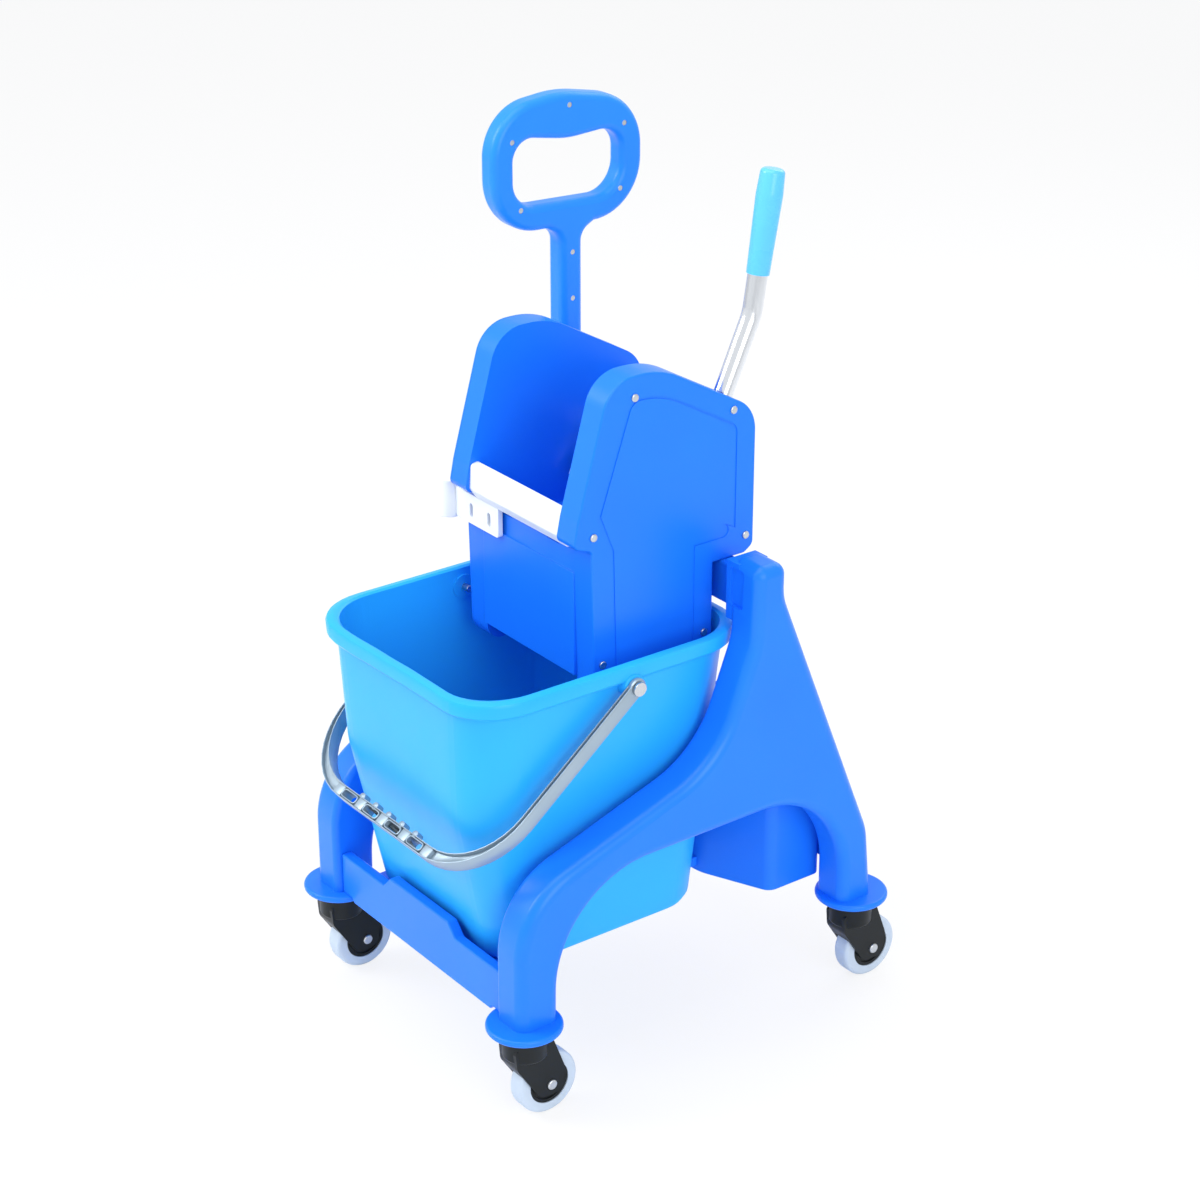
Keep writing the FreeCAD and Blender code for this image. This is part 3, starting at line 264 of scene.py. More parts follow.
@dataclass(frozen=True)
class Finish:
    """One surface finish of the trolley.

    Attributes:
        slot: Material slot of the record that it fills.
        colour: Main colour as rrggbb.
        drift: Colour that it drifts towards, as rrggbb.
        roughness: Lowest roughness.
        roughness_drift: How much rougher the scuffed places are.
        bump: Depth of the grain in metres.
        metallic: 1 for bare metal.
        coat: Clear gloss over the surface.
        gloss: Strength of the plain reflection.
        grain: Kind of grain.
    """

    slot: str
    colour: str
    drift: str
    roughness: float
    roughness_drift: float = 0.12
    bump: float = 0.00006
    metallic: float = 0.0
    coat: float = 0.0
    gloss: float = 0.25
    grain: Grain = Grain.MOULDED

    def material(self) -> bpy.types.Material:
        """Build the material once and hand out the same one after that."""
        made = bpy.data.materials.get("finish_" + self.slot)
        if made:
            return made
        made = bpy.data.materials.new("finish_" + self.slot)
        made.use_nodes = True
        tree = made.node_tree
        shader = tree.nodes["Principled BSDF"]
        skin = add_node(tree, "ShaderNodeGroup", node_tree=bpy.data.node_groups[self.grain.value])
        skin.inputs["Colour"].default_value = (*tint(self.colour), 1)
        skin.inputs["Drift Colour"].default_value = (*tint(self.drift), 1)
        skin.inputs["Roughness"].default_value = self.roughness
        skin.inputs["Roughness Drift"].default_value = self.roughness_drift
        bump = add_node(tree, "ShaderNodeBump")
        bump.inputs["Strength"].default_value = 0.35
        bump.inputs["Distance"].default_value = self.bump
        tree.links.new(skin.outputs["Colour"], shader.inputs["Base Color"])
        tree.links.new(skin.outputs["Roughness"], shader.inputs["Roughness"])
        tree.links.new(skin.outputs["Height"], bump.inputs["Height"])
        tree.links.new(bump.outputs["Normal"], shader.inputs["Normal"])
        shader.inputs["Metallic"].default_value = self.metallic
        shader.inputs["Specular IOR Level"].default_value = self.gloss
        shader.inputs["Coat Weight"].default_value = self.coat
        shader.inputs["Coat Roughness"].default_value = 0.08
        return made


FRAME_BLUE = Finish("frame_blue", "1a7bf6", "1773ee", 0.26)
HANDLE_BLUE = Finish("handle_blue", "2489f8", "1f80f0", 0.26)
POCKET_BLUE = Finish("pocket_blue", "1a79f2", "1771ea", 0.30)
WRINGER_BLUE = Finish("wringer_blue", "187af6", "1672ee", 0.28)
BUCKET_BLUE = Finish("bucket_blue", "28aef8", "24a5f2", 0.28)
BAIL_GREY = Finish("bail_grey", "a4b4bf", "8b9dab", 0.30, metallic=0.55)
STEEL = Finish("steel", "c9cccf", "b4b8bb", 0.22, metallic=1.0, grain=Grain.DRAWN)
POLISHED_TUBE = Finish("polished_tube", "e6e8ea", "d6d9dc", 0.12, 0.08, 0.00002, 1.0,
                       grain=Grain.DRAWN)
GRIP_BLUE = Finish("grip_blue", "5cc0fa", "55b6f5", 0.22, coat=0.3)
CASTER_BLACK = Finish("caster_black", "0b1012", "11171a", 0.34)
TYRE_GREY = Finish("tyre_grey", "c4d1e0", "b8c7d8", 0.52, 0.2, 0.00012)
WHITE_NYLON = Finish("white_nylon", "f2f5f6", "e9eef0", 0.34)
FINISHES = {f.slot: f for f in (
    FRAME_BLUE, HANDLE_BLUE, POCKET_BLUE, WRINGER_BLUE, BUCKET_BLUE, BAIL_GREY, STEEL,
    POLISHED_TUBE, GRIP_BLUE, CASTER_BLACK, TYRE_GREY, WHITE_NYLON)}


# ---------------------------------------------------------------- bench: modelling steps
def clear_selection() -> None:
    """Leave nothing selected, in object mode."""
    if bpy.context.object and bpy.context.object.mode != "OBJECT":
        bpy.ops.object.mode_set(mode="OBJECT")
    bpy.ops.object.select_all(action="DESELECT")


def take(piece: bpy.types.Object) -> None:
    """Make one object the only selected and active one."""
    clear_selection()
    piece.select_set(True)
    bpy.context.view_layer.objects.active = piece


def edit(piece: bpy.types.Object) -> None:
    """Open a piece in edit mode with nothing selected in it."""
    take(piece)
    bpy.ops.object.mode_set(mode="EDIT")
    bpy.ops.mesh.select_all(action="DESELECT")


def close_edit() -> None:
    """Go back to object mode."""
    bpy.ops.object.mode_set(mode="OBJECT")


def pick(kind: str, wanted: Callable[[Vector, Vector], bool]) -> int:
    """Select vertices, edges or faces of the open piece by place and direction.

    Args:
        kind: VERT, EDGE or FACE.
        wanted: Takes the middle and the direction: an edge's direction or a face's normal.

    Returns:
        How many were selected.
    """
    bpy.ops.mesh.select_mode(type=kind)
    bpy.ops.mesh.select_all(action="DESELECT")
    shape = bmesh.from_edit_mesh(bpy.context.object.data)
    shape.normal_update()
    count = 0
    if kind == "VERT":
        items = [(v, v.co, v.normal) for v in shape.verts]
    elif kind == "EDGE":
        items = [(e, (e.verts[0].co + e.verts[1].co) / 2,
                  (e.verts[1].co - e.verts[0].co).normalized()) for e in shape.edges]
    else:
        items = [(f, f.calc_center_median(), f.normal) for f in shape.faces]
    for item, middle, direction in items:
        if wanted(middle, direction):
            item.select_set(True)
            count += 1
    shape.select_flush_mode()
    bmesh.update_edit_mesh(bpy.context.object.data)
    return count


def move(value: Sequence[float]) -> None:
    """Move what is selected."""
    bpy.ops.transform.translate(value=value)


def grow(value: Sequence[float], centre: Sequence[float]) -> None:
    """Scale what is selected about a point."""
    bpy.ops.transform.resize(value=value, center_override=centre)


def push(value: Sequence[float]) -> None:
    """Extrude what is selected by a vector."""
    bpy.ops.mesh.extrude_region_move(TRANSFORM_OT_translate={"value": value})


def new_piece(name: str) -> bpy.types.Object:
    """Name the object that a primitive has just made and return it."""
    piece = bpy.context.object
    piece.name = name
    piece.data.name = name
    return piece


def apply_modifier(piece: bpy.types.Object, kind: str, **values: object) -> None:
    """Add a modifier, set it and apply it.

    Args:
        piece: Object to change.
        kind: Modifier type.
        values: Its settings.
    """
    take(piece)
    modifier = piece.modifiers.new(kind.lower(), kind)
    for key, value in values.items():
        setattr(modifier, key, value)
    bpy.ops.object.modifier_apply(modifier=modifier.name)


def round_edges(piece: bpy.types.Object, width: float, segments: int = 3,
                angle: float = 38.0) -> None:
    """Round every edge sharper than an angle."""
    apply_modifier(piece, "BEVEL", width=width, segments=segments, limit_method="ANGLE",
                   angle_limit=math.radians(angle), use_clamp_overlap=True)


def finish_shape(piece: bpy.types.Object, angle: float = 35.0) -> bpy.types.Object:
    """Settle a piece at the origin with outward normals and smooth shading.

    Args:
        piece: Object to settle.
        angle: Edges sharper than this stay crisp, in degrees.

    Returns:
        The same object.
    """
    edit(piece)
    bpy.ops.mesh.select_all(action="SELECT")
    bpy.ops.mesh.remove_doubles(threshold=MERGE)
    bpy.ops.mesh.normals_make_consistent(inside=False)
    close_edit()
    bpy.ops.object.transform_apply(location=True, rotation=True, scale=True)
    bpy.ops.object.shade_smooth_by_angle(angle=math.radians(angle))
    return piece


def drawn_outline(name: str, corners: Sequence[tuple[float, float, float]],
                  place: Callable[[float, float], Vector], depth: Sequence[float]) -> bpy.types.Object:
    """Solid from an outline drawn point by point, with rounded corners.

    Args:
        name: Name of the piece.
        corners: Two plane coordinates and the corner radius of each point.
        place: Turns plane coordinates into a point.
        depth: Vector that the outline is pushed along.

    Returns:
        The solid piece.
    """
    clear_selection()
    bpy.ops.mesh.primitive_plane_add(size=0.01)
    piece = new_piece(name)
    bpy.ops.object.mode_set(mode="EDIT")
    bpy.ops.mesh.select_all(action="SELECT")
    bpy.ops.mesh.merge(type="CENTER")
    points = [place(a, b) for a, b, _ in corners]
    bpy.ops.mesh.select_all(action="SELECT")
    move(points[0])
    for before, after in zip(points, points[1:]):
        bpy.ops.mesh.extrude_vertices_move(TRANSFORM_OT_translate={"value": after - before})
    bpy.ops.mesh.select_all(action="SELECT")
    bpy.ops.mesh.edge_face_add()
    for i, (_, _, radius) in enumerate(corners):
        if radius <= 0:
            continue
        here = points[i]
        before = (points[i - 1] - here).normalized()
        after = (points[(i + 1) % len(points)] - here).normalized()
        half = before.angle(after) / 2
        segments = max(3, round(math.degrees(math.pi - 2 * half) / 9))
        pick("VERT", lambda v, _: (v - here).length < SAME_SPOT)
        bpy.ops.mesh.bevel(offset=radius / math.tan(half), segments=segments, affect="VERTICES")
    bpy.ops.mesh.select_mode(type="FACE")
    bpy.ops.mesh.select_all(action="SELECT")
    push(depth)
    close_edit()
    return piece


def block(name: str, low: Sequence[float], high: Sequence[float], edge: float = 0.0,
          segments: int = 3) -> bpy.types.Object:
    """Box between two corners with rounded edges."""
    clear_selection()
    middle = [(a + b) / 2 for a, b in zip(low, high)]
    bpy.ops.mesh.primitive_cube_add(size=1, location=middle)
    piece = new_piece(name)
    piece.scale = [b - a for a, b in zip(low, high)]
    bpy.ops.object.transform_apply(location=True, rotation=True, scale=True)
    if edge > 0:
        round_edges(piece, edge, segments)
    return piece


def turned(name: str, middle: Sequence[float], axis: str, steps: Sequence[tuple[float, float]],
           sides: int = 40) -> bpy.types.Object:
    """Turned solid: a disc extruded along an axis through radii, closed at both ends.

    Args:
        name: Name of the piece.
        middle: Point on the axis that positions count from.
        axis: X or Z.
        steps: Position along the axis and radius of each station.
        sides: Facets around.

    Returns:
        The solid piece.
    """
    clear_selection()
    turn = (0, math.pi / 2, 0) if axis == "X" else (0, 0, 0)
    along = Vector((1, 0, 0)) if axis == "X" else Vector((0, 0, 1))
    start = Vector(middle) + along * steps[0][0]
    bpy.ops.mesh.primitive_circle_add(vertices=sides, radius=steps[0][1], fill_type="NGON",
                                      location=start, rotation=turn)
    piece = new_piece(name)
    bpy.ops.object.transform_apply(location=True, rotation=True, scale=True)
    bpy.ops.object.mode_set(mode="EDIT")
    bpy.ops.mesh.select_mode(type="FACE")
    bpy.ops.mesh.select_all(action="SELECT")
    for (p0, r0), (p1, r1) in zip(steps, steps[1:]):
        push(along * (p1 - p0))
        share = r1 / r0
        size = (1, share, share) if axis == "X" else (share, share, 1)
        grow(size, Vector(middle) + along * p1)
    close_edit()
    return piece


def carve(piece: bpy.types.Object, cutter: bpy.types.Object) -> None:
    """Cut one piece with another and remove the cutter."""
    for shape in (piece, cutter):
        edit(shape)
        bpy.ops.mesh.select_all(action="SELECT")
        bpy.ops.mesh.normals_make_consistent(inside=False)
        close_edit()
    apply_modifier(piece, "BOOLEAN", operation="DIFFERENCE", object=cutter, solver="EXACT")
    bpy.data.objects.remove(cutter)


def join(pieces: Sequence[bpy.types.Object], name: str) -> bpy.types.Object:
    """Join pieces into one object."""
    clear_selection()
    for piece in pieces:
        piece.select_set(True)
    bpy.context.view_layer.objects.active = pieces[0]
    bpy.ops.object.join()
    return new_piece(name)


def dress(piece: bpy.types.Object, finish: Finish, body: str, *nodes: str) -> None:
    """Give a piece its finish and body, and let it stand for CAD nodes.

    Args:
        piece: Finished piece.
        finish: Its surface.
        body: CAD body that it moves with.
        nodes: CAD nodes that it replaces.
    """
    piece.data.materials.clear()
    piece.data.materials.append(finish.material())
    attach(piece, body)
    if nodes:
        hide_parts(*nodes)
    LOG.info("%s: %d faces on %s", piece.name, len(piece.data.polygons), body)


def refined(node: str, edge: float, segments: int = 2, angle: float = 35.0) -> bpy.types.Object:
    """Copy of a CAD node, merged, with its crisp edges rounded.

    Args:
        node: CAD node to copy.
        edge: Rounding in metres, or 0 for none.
        segments: Facets of the rounding.
        angle: Edges sharper than this are rounded, in degrees.

    Returns:
        The copy, ready to be dressed.
    """
    clear_selection()
    source = frame["nodes"][node]
    hidden = source.hide_viewport
    source.hide_viewport = False
    take(source)
    bpy.ops.object.duplicate()
    piece = new_piece(node + "_finished")
    source.hide_viewport = hidden
    bpy.ops.object.parent_clear(type="CLEAR_KEEP_TRANSFORM")
    for key in list(piece.keys()):
        del piece[key]
    edit(piece)
    bpy.ops.mesh.select_all(action="SELECT")
    bpy.ops.mesh.remove_doubles(threshold=MERGE)
    bpy.ops.mesh.dissolve_limited(angle_limit=math.radians(0.6))
    close_edit()
    if edge > 0:
        round_edges(piece, edge, segments, angle)
    take(piece)
    bpy.ops.object.shade_smooth_by_angle(angle=math.radians(ROUNDED_CRISP if edge > 0 else PLAIN_CRISP))
    apply_modifier(piece, "WEIGHTED_NORMAL", weight=60, keep_sharp=True)
    return piece


# ---------------------------------------------------------------- bucket
@dataclass
class Bucket:
    """Tapered bucket with a bent front wall and a rolled rim.

    Attributes:
        wall: Wall thickness.
        knee: Height at which the front wall bends.
        rim_band: Height of the rolled rim band.
        rim_reach: How far the band stands out.
        foot_half: Half width at the foot.
        top_half: Half width under the rim.
        foot_behind_rim: Front wall at the foot, behind the CAD box's front.
        knee_behind_rim: Front wall at the bend, behind the CAD box's front.
        top_behind_rim: Front wall at the top, behind the CAD box's front.
        rear_foot_in: Rear wall at the foot, inside the CAD box's rear.
        rear_top_in: Rear wall at the top, inside the CAD box's rear.
        corner: Corner cut of the foot outline.
        corner_segments: Facets of each corner.
        front_cuts: Columns that the front and rear are divided into.
        side_cuts: Columns that the sides are divided into.
        arch_middle: X of the middle of the arched bend.
        arch_half: Half width of the arched bend.
        arch_rise: Rise of the arched bend.
        low: Low corner of the CAD bucket.
        high: High corner of the CAD bucket.
    """

    wall: float = 0.0035
    knee: float = 0.340
    rim_band: float = 0.018
    rim_reach: float = 0.009
    foot_half: float = 0.138
    top_half: float = 0.157
    foot_behind_rim: float = 0.059
    knee_behind_rim: float = 0.0185
    top_behind_rim: float = 0.012
    rear_foot_in: float = 0.046
    rear_top_in: float = 0.010
    corner: float = 0.046
    corner_segments: int = 9
    front_cuts: int = 17
    side_cuts: int = 8
    arch_middle: float = -0.022
    arch_half: float = 0.09
    arch_rise: float = 0.018
    low: Vector = field(default_factory=lambda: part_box("bucket")[0])
    high: Vector = field(default_factory=lambda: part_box("bucket")[1])

    def plan(self, z: float) -> tuple[float, float, float]:
        """Half width, front and rear of the outer wall at one height."""
        share = (z - self.low.z) / (self.high.z - self.low.z)
        half = self.foot_half + (self.top_half - self.foot_half) * share
        foot = self.low.y + self.foot_behind_rim
        knee = self.low.y + self.knee_behind_rim
        top = self.low.y + self.top_behind_rim
        if z < self.knee:
            front = foot + (knee - foot) * (z - self.low.z) / (self.knee - self.low.z)
        else:
            front = knee + (top - knee) * (z - self.knee) / (self.high.z - self.knee)
        rear = self.high.y - self.rear_foot_in + (self.rear_foot_in - self.rear_top_in) * share
        return half, front, rear

    def stations(self) -> list[tuple[float, float, float, float]]:
        """Half width, front, rear and height from the foot up, over the rim and back down."""
        rows = []
        for z, out in ((0, -0.010), (0.003, -0.003), (0.010, 0)):
            half, front, rear = self.plan(self.low.z + z)
            rows.append((half + out, front - out, rear + out, self.low.z + z))
        band = self.high.z - self.rim_band
        for z in (0.20, 0.26, 0.31, self.knee - 0.004, self.knee + 0.004, 0.375, 0.42,
                  band - 0.012, band):
            rows.append((*self.plan(z), z))
        reach = self.rim_reach
        for z, out in ((band - 0.001, reach - 0.002), (band + 0.002, reach),
                       (self.high.z - 0.005, reach), (self.high.z - 0.0015, reach - 0.0015),
                       (self.high.z, reach - 0.005),
                       (self.high.z, -0.001), (self.high.z - 0.002, -self.wall)):
            half, front, rear = self.plan(min(z, self.high.z))
            rows.append((half + out, front - out, rear + out, z))
        for z in (band, 0.42, 0.375, self.knee + 0.004, self.knee - 0.004, 0.26, self.low.z + 0.012):
            half, front, rear = self.plan(z)
            rows.append((half - self.wall, front + self.wall, rear - self.wall, z))
        half, front, rear = self.plan(self.low.z)
        rows.append((half - 0.012, front + 0.012, rear - 0.012, self.low.z + self.wall))
        return rows

    def shell(self) -> bpy.types.Object:
        """Raise the whole shell from its foot outline."""
        rows = self.stations()
        half, front, rear, z = rows[0]
        clear_selection()
        bpy.ops.mesh.primitive_plane_add(size=1, location=(0, (front + rear) / 2, z))
        piece = new_piece("bucket_shell")
        piece.scale = (2 * half, rear - front, 1)
        bpy.ops.object.transform_apply(location=True, rotation=True, scale=True)
        edit(piece)
        bpy.ops.mesh.select_mode(type="VERT")
        bpy.ops.mesh.select_all(action="SELECT")
        bpy.ops.mesh.bevel(offset=self.corner, segments=self.corner_segments, affect="VERTICES")
        pick("EDGE", lambda m, d: abs(d.x) > ALIGNED)
        bpy.ops.mesh.subdivide(number_cuts=self.front_cuts)
        pick("EDGE", lambda m, d: abs(d.y) > ALIGNED)
        bpy.ops.mesh.subdivide(number_cuts=self.side_cuts)
        bpy.ops.mesh.select_mode(type="FACE")
        bpy.ops.mesh.select_all(action="SELECT")
        for (h0, f0, r0, z0), (h1, f1, r1, z1) in zip(rows, rows[1:]):
            c0, c1 = (f0 + r0) / 2, (f1 + r1) / 2
            push((0, c1 - c0, z1 - z0))
            grow((h1 / h0, (r1 - f1) / (r0 - f0), 1), (0, c1, z1))
        close_edit()
        return piece

    def wave_rim(self, piece: bpy.types.Object) -> None:
        """Dip the left of the rim's front so that it rises in a slow wave to the right."""
        edit(piece)
        for middle, reach, dip in ((-0.080, 0.060, 0.0034), (-0.010, 0.050, 0.0016)):
            pick("VERT", lambda v, _: abs(v.x - middle) < 0.010
                 and v.y < self.low.y + 0.03 and v.z > self.high.z - 0.03)
            bpy.ops.transform.translate(value=(0, 0, -dip), use_proportional_edit=True,
                                        proportional_edit_falloff="SMOOTH", proportional_size=reach)
        close_edit()

    def arch_knee(self, piece: bpy.types.Object) -> None:
        """Raise the middle of the bend in the front wall into a flat arch."""
        edit(piece)
        front = self.plan(self.knee)[1]
        for x in [round(-0.10 + 0.02 * k, 3) for k in range(9)]:
            share = (x - self.arch_middle) / self.arch_half
            rise = self.arch_rise * math.sqrt(max(0.0, 1 - share * share))
            found = pick("VERT", lambda v, _: abs(v.x - x) < 0.0101 and v.y < front + 0.012
                         and abs(v.z - self.knee) < 0.008)
            if found:
                move((0, 0, rise))
        close_edit()

    def ears(self) -> list[bpy.types.Object]:
        """Bosses that the bail hangs on."""
        made = []
        pivot = ear_centre()
        for hand in Hand:
            near, far = 0.150 * hand.value, (self.high.x - 0.0002) * hand.value
            made.append(turned("bucket_ear_" + hand.word, (0, pivot.y, pivot.z), "X", [
                (near, 0.0145), (far - 0.003 * hand.value, 0.0135), (far - 0.001 * hand.value, 0.0128),
                (far, 0.0112)]))
        return made

    def build(self) -> None:
        """Model and dress the bucket."""
        shell = self.shell()
        self.arch_knee(shell)
        self.wave_rim(shell)
        dress(finish_shape(shell, 32), BUCKET_BLUE, "bucket", "bucket")
        for ear in self.ears():
            dress(finish_shape(ear), BUCKET_BLUE, "bucket")


def ear_centre() -> Vector:
    """Middle of the bail's pivot line."""
    low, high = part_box("bail_studs")
    return (low + high) / 2


# ---------------------------------------------------------------- bail
@dataclass
class Bail:
    """Channel-section bail with a laddered grip.

    Attributes:
        lean: Angle below level at rest, in degrees.
        depth: Width of the channel across the bail's plane.
        band: Height of the section in the bail's plane.
        reach: Pivot line to the far edge of the grip.
        arm: Thickness of the side arms.
        corner: Outer corner radius.
        trough: Depth of the trough in each face.
        windows: Windows of the ladder.
        pitch: Distance between rungs.
        rung_half: Half width of a rung.
        window_half: Half width of a window.
        window_in: Rail left along each side of a window.
        bumps_count: Finger bumps on the grip.
        bump_pitch: Distance between bumps.
    """

    lean: float = 39.0
    reach: float = 0.276
    depth: float = 0.018
    band: float = 0.0145
    arm: float = 0.005
    corner: float = 0.092
    trough: float = 0.006
    windows: int = 4
    pitch: float = 0.043
    rung_half: float = 0.007
    window_half: float = 0.0125
    window_in: float = 0.0034
    bumps_count: int = 5
    bump_pitch: float = 0.026

    def strip(self) -> bpy.types.Object:
        """Flat U drawn in the XY plane, pushed to its depth."""
        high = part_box("bail")[1]
        out = high.x - 0.0004
        near = out - self.arm - 0.0006
        tip, inner = -self.reach, -self.reach + self.band
        corners = [
            (-out, 0.004, 0.0), (-out, tip, self.corner), (out, tip, self.corner), (out, 0.004, 0.0),
            (near, 0.004, 0.0), (near - 0.001, inner, self.corner - 0.012),
            (-near + 0.001, inner, self.corner - 0.012), (-near, 0.004, 0.0),
        ]
        half = self.depth / 2
        return drawn_outline("bail_channel", corners, lambda a, b: Vector((a, b, -half)),
                             (0, 0, self.depth))

    def hollow(self, piece: bpy.types.Object) -> None:
        """Sink a trough into the outward face and round the edges."""
        for side in (1, -1):
            edit(piece)
            pick("FACE", lambda m, n: n.z * side > ALIGNED)
            bpy.ops.mesh.inset(thickness=0.0013, depth=0)
            push((0, 0, -side * self.trough))
            close_edit()
        round_edges(piece, 0.0005, 2, 50)

    def rungs(self) -> list[bpy.types.Object]:
        """Solid bars that divide the grip's windows."""
        tip = -self.reach
        made = []
        for k in range(self.windows + 1):
            x = (k - self.windows / 2) * self.pitch
            made.append(block(
                "bail_rung_%d" % k,
                (x - self.rung_half, tip + 0.001, -self.depth / 2 + 0.0006),
                (x + self.rung_half, tip + self.band - 0.001, self.depth / 2 - 0.0006), 0.0012))
        return made

    def cut_windows(self, piece: bpy.types.Object) -> None:
        """Open the windows between the rungs."""
        tip = -self.reach
        for k in range(self.windows):
            x = (k + 0.5 - self.windows / 2) * self.pitch
            carve(piece, block(
                "window_cutter", (x - self.window_half, tip + self.window_in, -0.02),
                (x + self.window_half, tip + self.band - self.window_in, 0.02), 0.003))

    def bumps(self) -> list[bpy.types.Object]:
        """Finger bumps along the inside of the grip."""
        made = []
        for k in range(self.bumps_count):
            x = (k - (self.bumps_count - 1) / 2) * self.bump_pitch
            made.append(turned("bail_bump_%d" % k, (x, -self.reach + self.band + 0.0005, 0), "Z", [
                (-0.006, 0.003), (-0.005, 0.0046), (0.005, 0.0046), (0.006, 0.003)], 20))
        return made

    def eyes(self) -> list[bpy.types.Object]:
        """Round eyes at the ends of the arms."""
        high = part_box("bail")[1]
        made = []
        for hand in Hand:
            inner, outer = (high.x - self.arm - 0.0008) * hand.value, (high.x - 0.0002) * hand.value
            step = 0.0012 * hand.value
            made.append(turned("bail_eye_" + hand.word, (0, 0, 0), "X", [
                (inner, 0.0095), (inner + step, 0.0106), (outer - step, 0.0106), (outer, 0.009)]))
        return made

    def swing_into_place(self, piece: bpy.types.Object) -> None:
        """Lean the flat bail to its rest angle and move it to the pivot."""
        edit(piece)
        bpy.ops.mesh.select_all(action="SELECT")
        bpy.ops.transform.rotate(value=-math.radians(self.lean), orient_axis="X",
                                 center_override=(0, 0, 0))
        move(ear_centre())
        close_edit()

    def build(self) -> None:
        """Model and dress the bail."""
        strip = self.strip()
        self.cut_windows(strip)
        self.hollow(strip)
        whole = join([strip, *self.rungs(), *self.bumps(), *self.eyes()], "bail_handle")
        self.swing_into_place(whole)
        dress(finish_shape(whole), BAIL_GREY, "bail", "bail")


# ---------------------------------------------------------------- pieces kept from CAD
@dataclass
class KeptPieces:
    """CAD pieces whose shape is right, merged, rounded and dressed.

    Attributes:
        body: CAD body that they belong to.
        roundings: Rounding of each node in metres.
    """

    body: str
    roundings: dict[str, float]

    def build(self) -> None:
        """Copy, round and dress each node."""
        slots = {row["node"]: row["material_slot"] for row in frame["record"]["subparts"]}
        for node, edge in self.roundings.items():
            dress(refined(node, edge), FINISHES[slots[node]], self.body, node)


def caster_pieces(tag: str) -> list[KeptPieces]:
    """Kept pieces of one caster.

    Args:
        tag: End and hand of the caster, such as front_left.

    Returns:
        The pieces of its three bodies.
    """
    return [
        KeptPieces("chassis", {"caster_flange_" + tag: 0.0008}),
        KeptPieces("caster_swivel_" + tag, {"caster_fork_" + tag: 0.0012, "caster_axle_" + tag: 0.0}),
        KeptPieces("caster_wheel_" + tag, {"caster_hub_" + tag: 0.0006, "caster_tyre_" + tag: 0.0}),
    ]


# ---------------------------------------------------------------- studio
# Name, place, side length in metres and power in watts of each lamp.
LAMPS = (
    ("key", (-1.6, -2.4, 2.4), 1.6, 60),
    ("top", (0.0, -0.7, 3.0), 2.2, 34),
    ("fill", (2.8, -0.6, 1.6), 1.8, 38),
    ("rear", (-0.6, 2.4, 2.4), 1.8, 24),
)


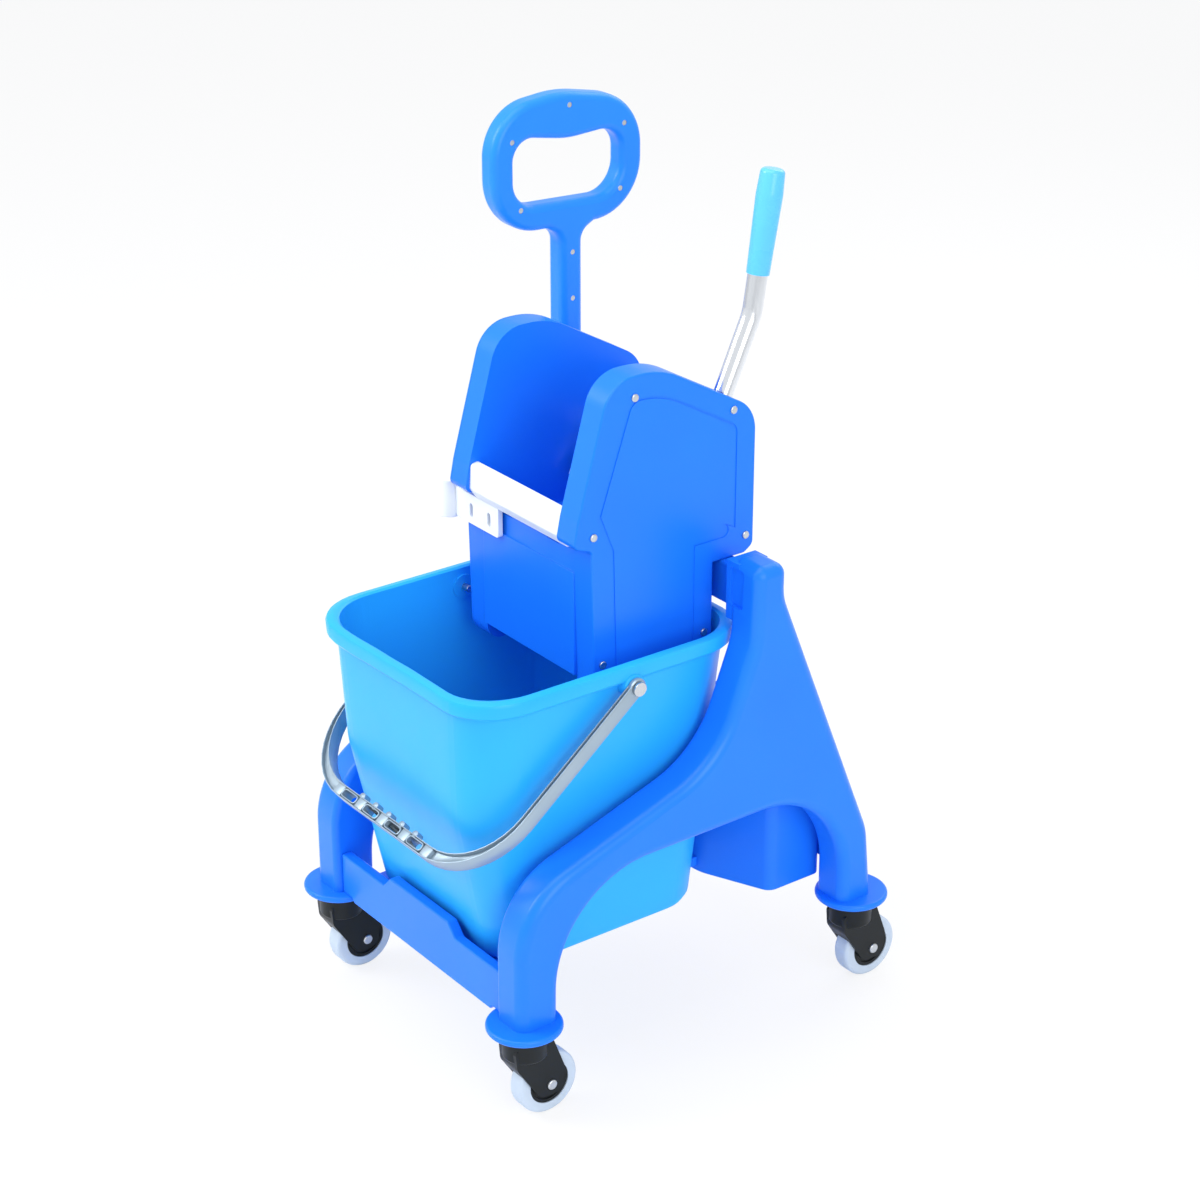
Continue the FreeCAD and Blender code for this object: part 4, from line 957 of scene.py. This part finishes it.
@dataclass
class Studio:
    """Floor, lamps and camera.

    Attributes:
        eye: Where the camera stands.
        dip: Camera's angle below level, in degrees.
        turn: Camera's heading, in degrees.
        lens: Focal length on a 36 mm sensor.
    """

    eye: tuple[float, float, float] = (2.247, -1.671, 1.768)
    dip: float = 24.68
    turn: float = 53.25
    lens: float = 83.64

    def camera(self) -> None:
        """Place the camera."""
        data = bpy.data.cameras.new("camera")
        data.lens = self.lens
        data.sensor_width = 36
        camera = bpy.data.objects.new("camera", data)
        camera.location = self.eye
        camera.rotation_euler = (math.radians(90 - self.dip), 0, math.radians(self.turn))
        bpy.context.collection.objects.link(camera)
        bpy.context.scene.camera = camera

    def lamp(self, name: str, place: Sequence[float], size: float, power: float) -> None:
        """Soft square lamp that faces the trolley's middle."""
        data = bpy.data.lights.new(name, "AREA")
        data.size = size
        data.energy = power
        lamp = bpy.data.objects.new(name, data)
        lamp.location = place
        aim = Vector((0, 0, 0.45)) - Vector(place)
        lamp.rotation_euler = aim.to_track_quat("-Z", "Y").to_euler()
        bpy.context.collection.objects.link(lamp)

    def floor(self) -> None:
        """Pale floor that keeps the shadow."""
        clear_selection()
        bpy.ops.mesh.primitive_plane_add(size=14, location=(0, 0, -0.0002))
        floor = new_piece("studio_floor")
        bpy.ops.object.transform_apply(location=True, rotation=True, scale=True)
        paint = bpy.data.materials.new("studio_floor")
        paint.use_nodes = True
        tree = paint.node_tree
        shader = tree.nodes["Principled BSDF"]
        speckle = noise(tree, add_node(tree, "ShaderNodeTexCoord").outputs["Object"], 60.0, 2.0)
        tree.links.new(spread(tree, speckle, 0.55, 0.75), shader.inputs["Roughness"])
        shader.inputs["Base Color"].default_value = (0.93, 0.93, 0.94, 1)
        glow = add_node(tree, "ShaderNodeEmission")
        glow.inputs["Color"].default_value = (1, 1, 1, 1)
        glow.inputs["Strength"].default_value = 1.0
        path = add_node(tree, "ShaderNodeLightPath")
        seen = add_node(tree, "ShaderNodeMath", operation="MULTIPLY")
        tree.links.new(path.outputs["Is Camera Ray"], seen.inputs[0])
        seen.inputs[1].default_value = 0.8
        mix = add_node(tree, "ShaderNodeMixShader")
        tree.links.new(seen.outputs[0], mix.inputs[0])
        tree.links.new(shader.outputs[0], mix.inputs[1])
        tree.links.new(glow.outputs[0], mix.inputs[2])
        tree.links.new(mix.outputs[0], tree.nodes["Material Output"].inputs["Surface"])
        floor.data.materials.append(paint)

    def sky(self) -> None:
        """Even light all round, seen as white by the camera and in gloss."""
        world = bpy.context.scene.world or bpy.data.worlds.new("studio")
        bpy.context.scene.world = world
        world.use_nodes = True
        tree = world.node_tree
        back = tree.nodes["Background"]
        back.inputs["Color"].default_value = (0.95, 0.97, 1.0, 1)
        path = add_node(tree, "ShaderNodeLightPath")
        seen = add_node(tree, "ShaderNodeMath", operation="MAXIMUM")
        tree.links.new(path.outputs["Is Camera Ray"], seen.inputs[0])
        either = add_node(tree, "ShaderNodeMath", operation="MAXIMUM")
        tree.links.new(path.outputs["Is Glossy Ray"], seen.inputs[1])
        tree.links.new(seen.outputs[0], either.inputs[0])
        tree.links.new(path.outputs["Is Transmission Ray"], either.inputs[1])
        tree.links.new(spread(tree, either.outputs[0], 0.72, 1.0), back.inputs["Strength"])

    def build(self) -> None:
        """Set up the whole studio."""
        bpy.context.scene.view_settings.view_transform = "Standard"
        self.camera()
        self.floor()
        self.sky()
        for lamp in LAMPS:
            self.lamp(*lamp)


def main() -> None:
    """Build every sub-assembly in order."""
    moulded_grain()
    drawn_grain()
    Studio().build()
    Bucket().build()
    Bail().build()
    KeptPieces("bucket", {"bail_studs": 0.0005}).build()
    KeptPieces("chassis", {
        "side_frame_left": 0.0015, "side_frame_right": 0.0015, "front_crossbar": 0.0022,
        "tower_crossbeam": 0.0006, "rear_crossbar": 0.0006, "rear_pocket": 0.0012,
        "bucket_rear_rest": 0.0012, "handle_shell_outer": 0.0, "handle_shell_inner": 0.0,
        "handle_screws": 0.0004,
    }).build()
    for end in End:
        for hand in Hand:
            for kept in caster_pieces("%s_%s" % (end.value, hand.word)):
                kept.build()
    wringer = {"cover_bolts": 0.0, "wringer_front_wall": 0.0007, "wringer_back_wall": 0.0008,
               "wringer_floor": 0.0, "shaft_bushes": 0.0005, "lip_plate": 0.001, "handle_clip": 0.0008}
    for hand in Hand:
        wringer["cheek_" + hand.word] = 0.0015
        wringer["cheek_cover_" + hand.word] = 0.0
        wringer["guide_rail_" + hand.word] = 0.001
    KeptPieces("wringer", wringer).build()
    KeptPieces("lever", {"shaft": 0.0006, "lever_tube": 0.0, "lever_grip": 0.0,
                         "sector_left": 0.0004, "sector_right": 0.0004}).build()
    KeptPieces("jaw", {"jaw": 0.0008, "jaw_rack_left": 0.0004, "jaw_rack_right": 0.0004}).build()


if __name__ == "__main__":
    logging.basicConfig(level=logging.INFO, format="%(message)s")
    main()
